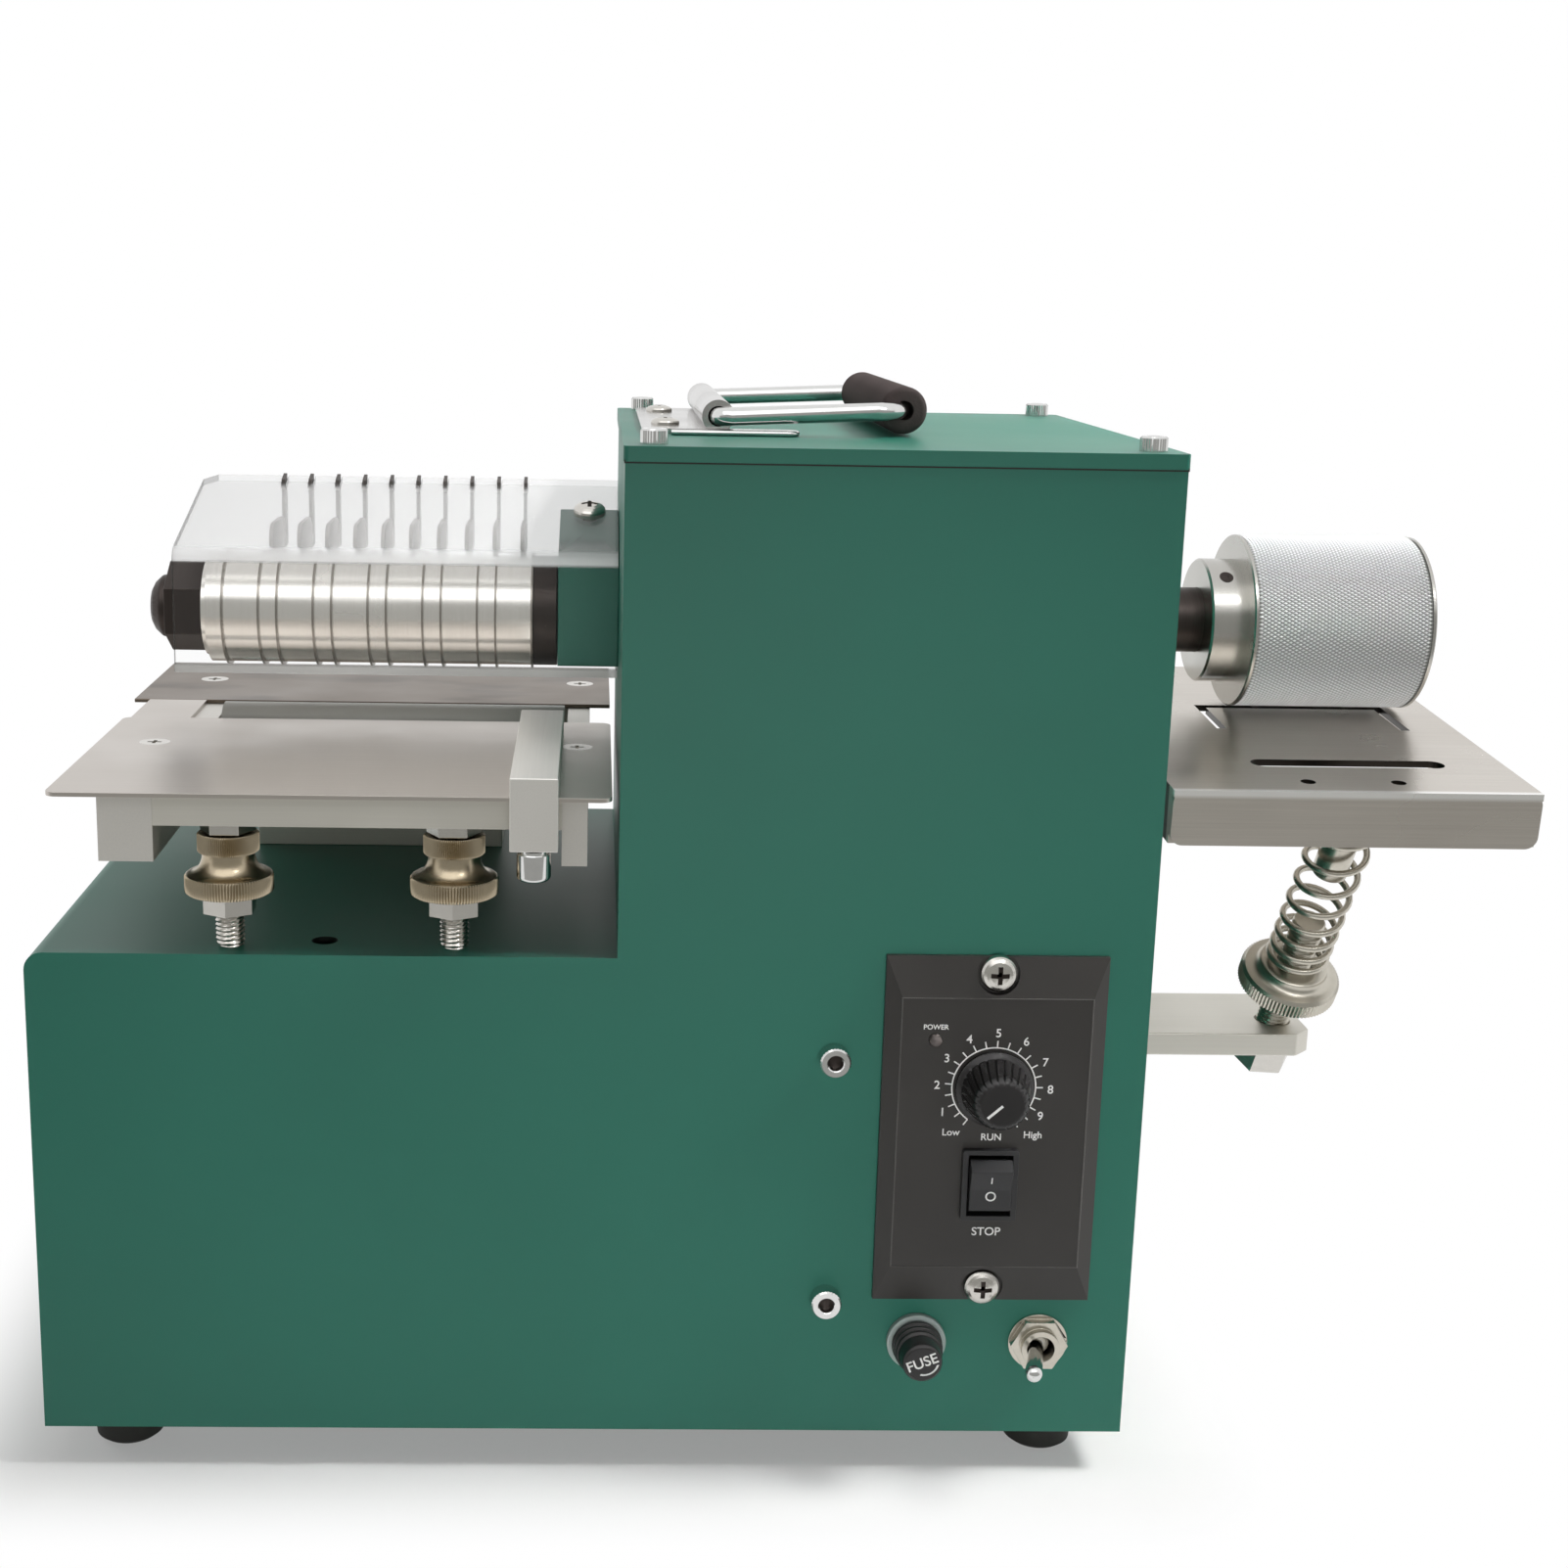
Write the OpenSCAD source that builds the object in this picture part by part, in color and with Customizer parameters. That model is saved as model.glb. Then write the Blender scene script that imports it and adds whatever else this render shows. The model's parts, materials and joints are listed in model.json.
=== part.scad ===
// Bench machine that cuts leather into straps. A green sheet-metal housing stands on four feet. A motor
// inside turns one shaft: its left end carries a drum of blades and spacer rings above a lifting table,
// its right end carries a knurled wheel above a sprung table. Millimetres, +Z up, front faces -Y,
// origin on the bench under the middle of the housing.

/* [Housing] */
// Width of the housing
body_w = 302; // [296:1:320]
// Depth of the housing
body_d = 165; // [165:1:185]
// Width of the tower
tower_w = 144; // [140:1:150]
// Height of the shelf above the underside
shelf_h = 138.5; // [132:0.5:140]
// Height of the tower above the shaft axis
tower_over = 55; // [52:0.5:62]
// Thickness of the sheet metal
sheet_t = 1.5; // [1:0.1:2]
// Bend radius at the left end of the shelf
bend_r = 5; // [3:0.5:8]
// Width of the flange behind the rear panel
flange_w = 12; // [10:0.5:16]
// Thickness of the lid
lid_t = 4; // [3:0.5:6]
// Height of the rubber feet
foot_h = 12; // [8:0.5:16]
// Diameter of the rubber feet
foot_d = 21; // [18:0.5:26]
// Distance of each foot's axis from the housing's sides
foot_inset = 19.5; // [16:0.5:26]

/* [Shaft and drum] */
// Distance of the shaft axis behind the front face
shaft_back = 108; // [104:0.5:112]
// Diameter of the shaft inside the tower
shaft_d = 20; // [18:0.5:22]
// Diameter of the shaft inside the drum
arbor_d = 16; // [12:0.5:17]
// Pairs of narrow and wide rings on the drum
ring_pairs = 6; // [4:1:6]
// Width of a narrow ring
narrow_w = 4.9; // [4:0.1:5]
// Width of a wide ring
wide_w = 10.3; // [8:0.1:10.4]
// Outside diameter of the rings
ring_d = 33.5; // [30:0.5:34]
// Thickness of a blade
blade_t = 0.6; // [0.5:0.1:0.8]
// Outside diameter of the blades
blade_d = 35.5; // [34.5:0.5:37]
// Length of the collar beside the drum
collar_len = 7.3; // [5:0.1:8]
// Width of the bearing block outside the tower
block_w = 18.3; // [16:0.1:20]
// Slope of the bearing block's top and the guard
guard_slope = 16; // [10:1:20]
// Thickness of the clear guard
guard_t = 2; // [1.5:0.1:3]

/* [Lifting table] */
// Height of the table plates above the shelf
table_up = 44.55; // [43:0.05:48]
// Gap between the blades and the pressure roller at rest
lift_gap = 12.2; // [10:0.1:14]
// Thickness of the table plates
plate_t = 1.2; // [1:0.1:2]
// Reach of the table plates from the tower
table_reach = 150; // [148:0.5:151]
// Depth of the front plate
front_plate_d = 98; // [94:0.5:99]
// Diameter of the pressure roller
roller_d = 22; // [20:0.5:23]
// Height of the roller above the plates
roller_proud = 2.5; // [1:0.1:3]
// Thread diameter of the jack screws
jack_d = 8; // [6:0.5:8]
// Distance between the jack screws
jack_gap = 60.4; // [56:0.1:64]
// Diameter of the jack wheels
jack_wheel_d = 23.8; // [20:0.2:24]
// Width of the sliding edge guide
guide_w = 12.6; // [10:0.1:16]
// Diameter of the guide posts
post_d = 10; // [8:0.5:12]

/* [Sprung table] */
// Diameter of the knurled wheel
wheel_d = 53; // [50:0.5:54]
// Width of the knurled wheel
wheel_w = 55; // [50:0.5:58]
// Diameter of the wheel's hub
hub_d = 38; // [34:0.5:42]
// Length of the wheel's hub
hub_len = 10.6; // [8:0.1:14]
// Distance of the hub from the tower
hub_out = 35.4; // [32:0.1:40]
// Gap between the wheel and the sprung table
wheel_gap = 0.9; // [0.5:0.1:1.5]
// Width of the sprung table
spring_table_w = 102.6; // [96:0.1:106]
// Length of the sprung table from its hinge to its front
spring_table_len = 128; // [126:0.5:129]
// Slope of the sprung table
table_tilt = 4.5; // [3:0.5:5]
// Depth of the sprung table's skirt
skirt_h = 16; // [14:0.5:18]
// Lean of the spring towards the front
stud_lean = 28; // [26:0.5:29]
// Outside diameter of the spring
spring_d = 18.5; // [17:0.5:20]
// Wire diameter of the spring
spring_wire = 2; // [1.5:0.1:2.2]
// Diameter of the spring's stud
stud_d = 10; // [8:0.5:11]
// Diameter of the knurled spring nut
spring_nut_d = 29.5; // [26:0.5:32]

/* [Controls] */
// Width of the control panel
panel_w = 60; // [58:0.5:64]
// Height of the control panel
panel_h = 99.5; // [98:0.5:106]
// Diameter of the speed knob
knob_d = 21; // [18:0.5:23]
// Length of the speed knob
knob_len = 13.2; // [12:0.1:16]

/* [Handle] */
// Width of the folding handle
handle_w = 108; // [90:1:116]
// Reach of the folding handle
handle_reach = 51; // [46:0.5:60]
// Diameter of the handle's rod
handle_rod_d = 5; // [4:0.5:6]
// Diameter of the handle's grip
grip_d = 13; // [11:0.5:15]

/* [Hidden] */
$fn = 64;
EPS = 0.01;

// Clearances: fit holds a fixed piece, run separates pieces that move
fit = 0.1;
run = 0.3;

// Housing faces
xl = -body_w / 2;
xr = body_w / 2;
xw = xr - tower_w;
yf = -body_d / 2;
yb = body_d / 2;
zb = foot_h;
zs = zb + shelf_h;

// Levels from the shelf up: the lifting table, the roller, the shaft above it and the tower's top
table_z = zs + table_up;
frame_z = table_z - plate_t;
bar_h = 8.2;
arm_h = 18;
bar_z = frame_z - bar_h;
arm_z = frame_z - arm_h;
roller_top = table_z + roller_proud;
roller_z = roller_top - roller_d / 2;
shaft_z = roller_top + lift_gap + blade_d / 2;
zt = shaft_z + tower_over;
z_lid = zt + lid_t;

// Shaft line and drum stations, from the tower outwards to the left
shaft_y = yf + shaft_back;
pair_w = narrow_w + wide_w + 2 * blade_t;
block_x = xw - block_w;
collar_x = block_x - run - collar_len;
stack_x = collar_x - ring_pairs * pair_w;
washer_t = 1.5;
washer_x = stack_x - washer_t;
clamp_nut_len = 11.5;
clamp_nut_x = washer_x - clamp_nut_len;
cap_len = 5.3;

// Bushes carry the shaft in the bearing block and in a flange behind the right wall
bush_wall = 3;
bush_d = shaft_d + 2 * bush_wall;
bush_flange_t = 12;
bush_flange_w = 50;

// Bearing block outline, about the shaft axis
block_front = 16;
block_rear = 20;
block_below = 14.5;
block_above = 19;

// Clear guard outline
guard_air = 1.2;
guard_y = shaft_y - blade_d / 2 - guard_t - guard_air;
guard_bottom = shaft_z - 17;
guard_bend = 6;
guard_rear = shaft_y + 39;
guard_len = 132.5;
guard_corner = 3;
pan_d = 4;
pan_head_d = 10;
pan_head_h = 3.6;
guard_screw_x = xw - block_w / 2;
guard_screw_y = shaft_y + 12;

// Stripper comb behind the drum
finger_n = 10;
finger_pitch = 8.58;
finger_t = 1.2;
finger_first = xw - 107;
finger_front = 4;
finger_r = 5;
finger_air = 1.2;
finger_top = block_above + left_of(finger_front + finger_r + block_front) - finger_air;
comb_y = shaft_y + 23;
comb_d = 8;
comb_h = 12;

// Lifting table plan, from the tower, the front face and the roller
journal_d = 8;
plate_right = 2;
plate_gap = 2;
plate_front = shaft_y - roller_d / 2 - plate_gap - front_plate_d;
rear_plate_gap = 4.5;
rear_plate_y = shaft_y + roller_d / 2 + rear_plate_gap;
rear_plate_d = 66;
rear_plate_more = 3;
left_arm_x = xw - table_reach + 13;
left_arm_w = 14.4;
right_arm_x = xw - 15.2;
right_arm_w = 6.8;
arm_short = 2.5;
arm_len = rear_plate_y + rear_plate_d - arm_short - yf;
bar_d = 19.4;
rear_bar_y = rear_plate_y + 16;
bar_x = left_arm_x + left_arm_w;
bar_len = right_arm_x - bar_x;
tab_x = xw - table_reach + 2;
tab_w = 18;
tab_lap = 10;
screw_d = 4;
screw_in = 3.2;
front_screw_y = yf + 60;
rear_screw_y = rear_plate_y + 36;
flat_head_d = 9;

// Jack screws under the front bar
jack_mid = bar_x + bar_len / 2 - 5.4;
jack_y = yf + bar_d / 2;
jack_nut_h = 3.5;
jack_wheel_h = 16.8;
lock_nut_h = 5.7;
nut_ratio = 1.88;
jack_nut_z = bar_z - jack_nut_h;
jack_wheel_z = jack_nut_z - run - jack_wheel_h;
lock_nut_z = jack_wheel_z - lock_nut_h;

// Guide block and posts behind the jacks
guide_block_w = 77;
guide_block_x = jack_mid - guide_block_w / 2;
post_y = rear_bar_y + bar_d / 2;
guide_block_y = post_y - 36;
guide_block_d = 44;
guide_block_h = 19.5;
post_inset = 14;
post_top = frame_z - 0.5;
post_sink = 12;

// Edge guide over the front plate
guide_x = xw - 16 - guide_w;
guide_top = 7;
guide_hook = 7.6;
guide_front = min(plate_front, yf) - run - guide_hook;
guide_reach = 90;
guide_drop = 12.6;
guide_thread_d = 4;
guide_screw_d = 9;
guide_screw_h = 8.1;

// Knurled wheel stations, from the tower outwards to the right
hub_x = xr + hub_out;
wheel_x = hub_x + hub_len;
shaft_end = wheel_x + wheel_w - 4;

// Sprung table: hinge at the rear, skirt at the front
hinge_y = yb - 15;
hinge_drop = 6;
hinge_pin_d = 6;
hinge_z = shaft_z - (wheel_d / 2 + wheel_gap) / cos(table_tilt)
    + (hinge_y - shaft_y) * tan(table_tilt) - hinge_drop / cos(table_tilt);
spring_table_x = xr + 8.5;
spring_table_t = 2;
spring_table_rear = 8;
slit_w = 3;
slot_at = [57, 27];
slot_size = [56, 7];
hole_at = [40, 65.5];
hole_in = 9.5;
hole_d = 4.2;
pin_over = 2;

// Arm and leaning stud that carry the spring
stud_side = 3;
stud_x = xr + 60.6;
stud_y = hinge_y - spring_table_len + 58;
arm_top = zb + 95;
arm_t = 7;
spring_arm_y = stud_y - 14;
spring_arm_d = 38;
spring_arm_len = 69;
stud_len = 43;
stud_tail = 16;
spring_nut_at = 15.5;
spring_nut_h = 7;
seat_d = spring_d + 1.5;
seat_h = 3;
table_stud_at = 63.5;
spring_turns = 8;

// Front-face stations, from the housing's right side and underside
panel_x = xr - 42;
panel_z = zb + 90.8;
panel_t = 1.5;
panel_rise = 2.5;
panel_end_h = 11;
panel_side = 4.3;
panel_face = yf - panel_t - panel_rise;
panel_screw_at = panel_h / 2 - 4.4;
panel_bottom = panel_z - panel_h / 2;
knob_z = panel_z + 13.6;
spindle_d = 6;
lamp_x = panel_x - 16.4;
lamp_z = panel_z + 27;
lamp_d = 3.5;
rocker_z = panel_z - 14.05;
bezel_w = 15.2;
bezel_h = 20.5;
bezel_t = 2;
rocker_w = 11.4;
rocker_h = 16;
rocker_rest = 8;
box_w = 52;
box_h = 74;
box_d = 60;
fuse_x = panel_x - 17.2;
fuse_z = panel_bottom - 13.05;
fuse_d = 12;
fuse_rim_t = 2;
fuse_cap_len = 11.7;
fuse_stem = 14;
toggle_x = panel_x + 16.9;
toggle_z = panel_bottom - 13.05;
toggle_d = 10.6;
toggle_neck = 5.5;
toggle_bore = 7.6;
toggle_rest = 14;
toggle_len = 19;
bracket_x = xr - 85;
bracket_screw_z = [zb + 40.4, zb + 111];
cap_d = 5;
cap_head_d = 8.5;

// Motor and belt drive inside the tower
bracket_t = 5;
bracket_w = 20;
bracket_margin = 10;
bracket_plate_x = bracket_x - bracket_w / 2;
motor_z = zb + 80;
gearbox_w = 70;
gearbox_len = 32;
motor_d = 66;
motor_len = 88;
output_d = 12;
motor_pulley_r = 16;
shaft_pulley_r = 24;
pulley_w = 13;
pulley_rim = 1.5;
belt_w = 12;
belt_t = 3;
pulley_x = bracket_x + 2;
belt_x = pulley_x + (pulley_w - belt_w) / 2;

// Handle on the lid
handle_x = xw + 26;
handle_y = yf + 94;
handle_z = z_lid + 5;
handle_rise = asin((grip_d / 2 + 0.8 - 5) / handle_reach);
hinge_tube_d = 9;
handle_plate_w = 24;
handle_plate_x = xw + 17;
handle_plate_t = 1.5;
handle_screw_d = 8;

// Lid and rear screws
lid_screw_in = 7.5;
lid_screw_d = 4;
lid_over = 0.5;
rear_screw_d = 4;
vent_n = 6;
gland_x = xr - 55;
gland_z = zb + 30;
gland_d = 16;

green = [0.11, 0.42, 0.34];
steel = [0.72, 0.72, 0.70];
bright = [0.83, 0.84, 0.84];
nickel = [0.70, 0.67, 0.60];
black = [0.10, 0.10, 0.11];
alu = [0.80, 0.80, 0.77];

function arc(c, r, a0, a1, n = 8) =
    [for (i = [0:n]) c + r * [cos(a0 + (a1 - a0) * i / n), sin(a0 + (a1 - a0) * i / n)]];
function left_of(y) = y * tan(guard_slope);

// A rectangle about the origin with round corners
module round_rect(w, h, r) {
    polygon(concat(
        arc([w / 2 - r, h / 2 - r], r, 0, 90), arc([r - w / 2, h / 2 - r], r, 90, 180),
        arc([r - w / 2, r - h / 2], r, 180, 270), arc([w / 2 - r, r - h / 2], r, 270, 360)));
}

// An outline in X and Z, carried along Y from y0
module along_y(y0, h) translate([0, y0 + h, 0]) rotate([90, 0, 0]) linear_extrude(h) children();

// An outline in Y and Z, carried along X from x0
module along_x(x0, h) translate([x0, 0, 0]) rotate([90, 0, 90]) linear_extrude(h) children();

// A round bar along X on the shaft line, with an optional bore
module on_shaft(x0, h, d, bore = 0) {
    translate([x0, shaft_y, shaft_z]) rotate([0, 90, 0]) difference() {
        cylinder(h = h, d = d);
        if (bore > 0) translate([0, 0, -1]) cylinder(h = h + 2, d = bore);
    }
}

// Places its children on the front face with their Z pointing out of it
module on_front(x, z, out = 0) translate([x, yf - out, z]) rotate([90, 0, 0]) children();

// Places its children on the rear face with their Z pointing out of it
module on_rear(x, z) translate([x, yb, z]) rotate([-90, 0, 0]) children();

// Places its children on the leaning stud's axis, with the arm's top at zero
module on_stud() translate([stud_x, stud_y, arm_top]) rotate([stud_lean, stud_side, 0]) children();

// Places its children on the sprung table, with the hinge at zero
module on_table() translate([0, hinge_y, hinge_z]) rotate([table_tilt, 0, 0]) children();

// A socket-head screw whose head sits on Z = 0
module cap_screw(d, head_d, len) {
    socket = d * 0.9;
    translate([0, 0, -len]) cylinder(h = len + EPS, d = d);
    difference() {
        cylinder(h = d, d = head_d);
        translate([0, 0, d / 2]) cylinder(h = d, d = socket, $fn = 6);
    }
}

// A round-head cross-slot screw whose head sits on Z = 0
module pan_screw(d, head_d, head_h, len) {
    slot = head_d * 0.5;
    translate([0, 0, -len]) cylinder(h = len + EPS, d = d);
    difference() {
        rotate_extrude() polygon(concat([[0, 0], [head_d / 2, 0]],
            [for (i = [0:6]) [head_d / 2 * cos(i * 15), head_h * (0.3 + 0.7 * sin(i * 15))]]));
        for (a = [0, 90]) rotate([0, 0, a])
            translate([-slot / 2, -slot / 8, head_h * 0.55]) cube([slot, slot / 4, head_h]);
    }
}

module hex_nut(af, h, bore) {
    difference() {
        cylinder(h = h, d = af / cos(30), $fn = 6);
        translate([0, 0, -1]) cylinder(h = h + 2, d = bore);
    }
}

// The housing's stepped outline, drawn in by a margin
module step_outline(m, top) {
    r = max(bend_r - m, 0.5);
    polygon(concat([[xl + m, zb + m], [xr - m, zb + m], [xr - m, top], [xw + m, top], [xw + m, zs - m]],
        arc([xl + m + r, zs - m - r], r, 90, 180)));
}

module housing_holes() {
    on_front(panel_x, panel_z, 1) translate([0, 0, -sheet_t - 2])
        linear_extrude(sheet_t + 4) square([box_w + 2 * run, box_h + 2 * run], center = true);
    for (s = [-1, 1]) on_front(panel_x, panel_z + s * panel_screw_at, 1)
        translate([0, 0, -sheet_t - 2]) cylinder(h = sheet_t + 4, d = pan_d + 2 * fit);
    for (z = bracket_screw_z) on_front(bracket_x, z, 1)
        translate([0, 0, -sheet_t - 2]) cylinder(h = sheet_t + 4, d = cap_d + 2 * fit);
    on_front(fuse_x, fuse_z, 1)
        translate([0, 0, -sheet_t - 2]) cylinder(h = sheet_t + 4, d = fuse_d + 2 * fit);
    on_front(toggle_x, toggle_z, 1)
        translate([0, 0, -sheet_t - 2]) cylinder(h = sheet_t + 4, d = toggle_d + 2 * fit);
    on_shaft(xw - 1, sheet_t + 2, bush_d + 2 * fit);
    on_shaft(xr - sheet_t - 1, sheet_t + 2, bush_d + 2 * fit);
    translate([xl + 78.4, yf + 13.2, zs - sheet_t - 1]) cylinder(h = sheet_t + 2, d = 7);
    for (p = foot_places()) translate([p.x, p.y, zb - 1])
        cylinder(h = sheet_t + 2, d = rear_screw_d + 2 * fit);
    translate([xr - sheet_t - 1, hinge_y, hinge_z]) rotate([0, 90, 0])
        cylinder(h = sheet_t + 2, d = hinge_pin_d + 2 * fit);
}

function foot_places() = [for (x = [xl + foot_inset, xr - foot_inset])
    for (y = [yf + foot_inset, yb - foot_inset]) [x, y]];
function lid_places() = [for (x = [xw + lid_screw_in, xr - lid_screw_in])
    for (y = [yf + lid_screw_in, yb - lid_screw_in]) [x, y]];
function rear_places() = let (m = sheet_t + flange_w / 2) [
    [xl + m + 8, zb + m], [0, zb + m], [xr - m - 8, zb + m], [xl + m, zs - 30],
    [xw - 30, zs - m], [xr - m, (zb + zt) / 2], [xw + m, zt - 40], [xr - m, zt - 40]];

// Folded shell: front, floor, sides, shelf and tower, with a flange behind for the rear panel
module housing() {
    lug = 2 * lid_screw_in - sheet_t;
    lug_h = 8;
    color(green) difference() {
        union() {
            difference() {
                along_y(yf, body_d) step_outline(0, zt);
                along_y(yf + sheet_t, body_d - 3 * sheet_t) step_outline(sheet_t, zt + 1);
                along_y(yb - sheet_t, sheet_t + 1) step_outline(sheet_t, zt + 1);
                along_y(yb - 3 * sheet_t, 3 * sheet_t) step_outline(sheet_t + flange_w, zt + 1);
            }
            for (p = lid_places()) translate([p.x - lug / 2, p.y - lug / 2, zt - lug_h])
                cube([lug, lug - (p.y > 0 ? sheet_t : 0), lug_h]);
        }
        housing_holes();
        for (p = lid_places()) translate([p.x, p.y, zt - lug_h - 1])
            cylinder(h = lug_h + 2, d = lid_screw_d + 2 * fit);
        for (p = rear_places()) on_rear(p.x, p.y)
            translate([0, 0, -10]) cylinder(h = 11, d = rear_screw_d + 2 * fit);
    }
}

module rear_panel() {
    vent_w = 60;
    vent_h = 3;
    color(green) difference() {
        along_y(yb - sheet_t + fit, sheet_t - fit) step_outline(sheet_t + fit, zt);
        for (p = rear_places()) on_rear(p.x, p.y)
            translate([0, 0, -10]) cylinder(h = 11, d = rear_screw_d + 2 * fit);
        for (i = [0:vent_n - 1]) on_rear(xw + tower_w / 2, zt - 70 - 9 * i)
            translate([0, 0, -4]) linear_extrude(6) round_rect(vent_w, vent_h, vent_h / 2 - EPS);
        on_rear(gland_x, gland_z) translate([0, 0, -4]) cylinder(h = 6, d = gland_d + 2 * fit);
    }
}

module lid() {
    w = tower_w + 2 * lid_over;
    d = body_d + 2 * lid_over;
    color(green) difference() {
        translate([(xw + xr) / 2, 0, zt]) linear_extrude(lid_t) round_rect(w, d, 1.5);
        for (p = concat(lid_places(), handle_places())) translate([p.x, p.y, zt - 1])
            cylinder(h = lid_t + 2, d = lid_screw_d + 2 * fit);
    }
}

module socket_screws() {
    color(bright) {
        for (p = lid_places()) translate([p.x, p.y, z_lid]) cap_screw(lid_screw_d, 7.2, lid_t + 7);
        for (z = bracket_screw_z) on_front(bracket_x, z) cap_screw(cap_d, cap_head_d, sheet_t + bracket_t);
    }
}

module housing_screws() {
    color(steel) {
        for (p = rear_places()) on_rear(p.x, p.y) pan_screw(rear_screw_d, 7.5, 2.4, 2 * sheet_t + 3);
        for (p = foot_places()) translate([p.x, p.y, zb + sheet_t])
            pan_screw(rear_screw_d, 7.5, 2.4, sheet_t + foot_h / 2);
    }
}

module rubber_feet() {
    color(black) for (p = foot_places()) translate([p.x, p.y, 0]) rotate_extrude() polygon([
        [0, 0], [foot_d / 2 - 2.5, 0], [foot_d / 2 - 1, 1.2], [foot_d / 2, foot_h],
        [rear_screw_d / 2 + fit, foot_h], [rear_screw_d / 2 + fit, foot_h / 3], [0, foot_h / 3]]);
}

// Angle bracket behind the front wall: a flange under the two front screws and a plate for the gearbox
module motor_bracket() {
    y0 = yf + sheet_t;
    z0 = bracket_screw_z[0] - bracket_margin;
    h = bracket_screw_z[1] - bracket_screw_z[0] + 2 * bracket_margin;
    depth = shaft_y + gearbox_w / 2 - y0;
    color(steel) difference() {
        union() {
            translate([bracket_plate_x, y0, z0]) cube([bracket_w, bracket_t, h]);
            translate([bracket_plate_x, y0, z0]) cube([bracket_t, depth, h]);
        }
        for (z = bracket_screw_z) on_front(bracket_x, z)
            translate([0, 0, -20]) cylinder(h = 21, d = cap_d + 2 * fit);
        translate([bracket_plate_x - 1, shaft_y, motor_z]) rotate([0, 90, 0])
            cylinder(h = bracket_t + 2, d = output_d + 8);
    }
}

// Gear head against the bracket, with the motor behind it
module gear_motor() {
    x1 = bracket_plate_x;
    color([0.35, 0.36, 0.38]) {
        difference() {
            along_x(x1 - gearbox_len, gearbox_len) translate([shaft_y, motor_z])
                round_rect(gearbox_w, gearbox_w, 5);
            translate([x1 - 20, shaft_y, motor_z]) rotate([0, 90, 0])
                cylinder(h = 21, d = output_d + 2 * run);
        }
        translate([x1 - gearbox_len - motor_len, shaft_y, motor_z]) rotate([0, 90, 0])
            cylinder(h = motor_len, d = motor_d);
    }
}

module pulley(r, bore) {
    difference() {
        union() {
            cylinder(h = pulley_w, r = r);
            for (z = [-pulley_rim, pulley_w]) translate([0, 0, z]) cylinder(h = pulley_rim, r = r + belt_t);
        }
        if (bore > 0) translate([0, 0, -5]) cylinder(h = pulley_w + 10, d = bore);
    }
}

module motor_pulley() {
    color(steel) translate([pulley_x, shaft_y, motor_z]) rotate([0, 90, 0]) {
        pulley(motor_pulley_r, 0);
        translate([0, 0, bracket_plate_x - 18 - pulley_x])
            cylinder(h = pulley_x - bracket_plate_x + 18, d = output_d);
    }
}

module shaft_pulley() {
    color(steel) translate([pulley_x, shaft_y, shaft_z]) rotate([0, 90, 0])
        pulley(shaft_pulley_r, shaft_d + 2 * fit);
}

// An open belt's outline around both pulleys, a margin outside their faces
module belt_outline(m) {
    lean = asin((shaft_pulley_r - motor_pulley_r) / (shaft_z - motor_z));
    polygon(concat(
        arc([shaft_y, shaft_z], shaft_pulley_r + m, -lean, 180 + lean, 32),
        arc([shaft_y, motor_z], motor_pulley_r + m, 180 + lean, 360 - lean, 24)));
}

module drive_belt() {
    color(black) along_x(belt_x, belt_w) difference() {
        belt_outline(run + belt_t * 0.8);
        belt_outline(run);
    }
}

module main_shaft() {
    color([0.2, 0.2, 0.22]) {
        on_shaft(clamp_nut_x, collar_x + collar_len - clamp_nut_x + EPS, arbor_d);
        on_shaft(collar_x + collar_len, shaft_end - collar_x - collar_len, shaft_d);
    }
}

module left_bush() {
    color([0.72, 0.55, 0.3]) on_shaft(block_x, block_w + sheet_t + 2, bush_d, shaft_d + 2 * fit);
}

module right_bush() {
    x1 = xr - sheet_t;
    x0 = x1 - bush_flange_t;
    color([0.6, 0.58, 0.52]) difference() {
        union() {
            along_x(x0, bush_flange_t) translate([shaft_y, shaft_z])
                round_rect(bush_flange_w, bush_flange_w, 6);
            on_shaft(x0, bush_flange_t + sheet_t, bush_d);
        }
        on_shaft(x0 - 1, bush_flange_t + sheet_t + 2, shaft_d + 2 * fit);
    }
}

module bearing_block() {
    y0 = shaft_y - block_front;
    y1 = shaft_y + block_rear;
    z0 = shaft_z - block_below;
    z1 = shaft_z + block_above;
    color(green) difference() {
        along_x(block_x, block_w) polygon([[y0, z0], [y1, z0], [y1, z1 + left_of(y1 - y0)], [y0, z1]]);
        on_shaft(block_x - 1, block_w + 2, bush_d + 2 * fit);
        on_guard_screw() translate([0, 0, -14]) cylinder(h = 15, d = pan_d + 2 * fit);
    }
}

// Rings lie between the blades, narrow and wide in turn
module spacer_rings() {
    color(bright) for (i = [0:ring_pairs - 1]) {
        on_shaft(stack_x + i * pair_w, narrow_w, ring_d, arbor_d + 2 * fit);
        on_shaft(stack_x + i * pair_w + narrow_w + blade_t, wide_w, ring_d, arbor_d + 2 * fit);
    }
}

module cutter_blades() {
    color(steel) for (i = [0:ring_pairs - 1]) {
        on_shaft(stack_x + i * pair_w + narrow_w, blade_t, blade_d, arbor_d + 2 * fit);
        on_shaft(stack_x + (i + 1) * pair_w - blade_t, blade_t, blade_d, arbor_d + 2 * fit);
    }
}

module clamp_nut() {
    color(black) translate([clamp_nut_x, shaft_y, shaft_z]) rotate([0, 90, 0])
        hex_nut(arbor_d + 8, clamp_nut_len, arbor_d + 2 * fit);
}

module clamp_washer() {
    color(bright) on_shaft(washer_x, washer_t, ring_d - 4, arbor_d + 2 * fit);
}

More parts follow.
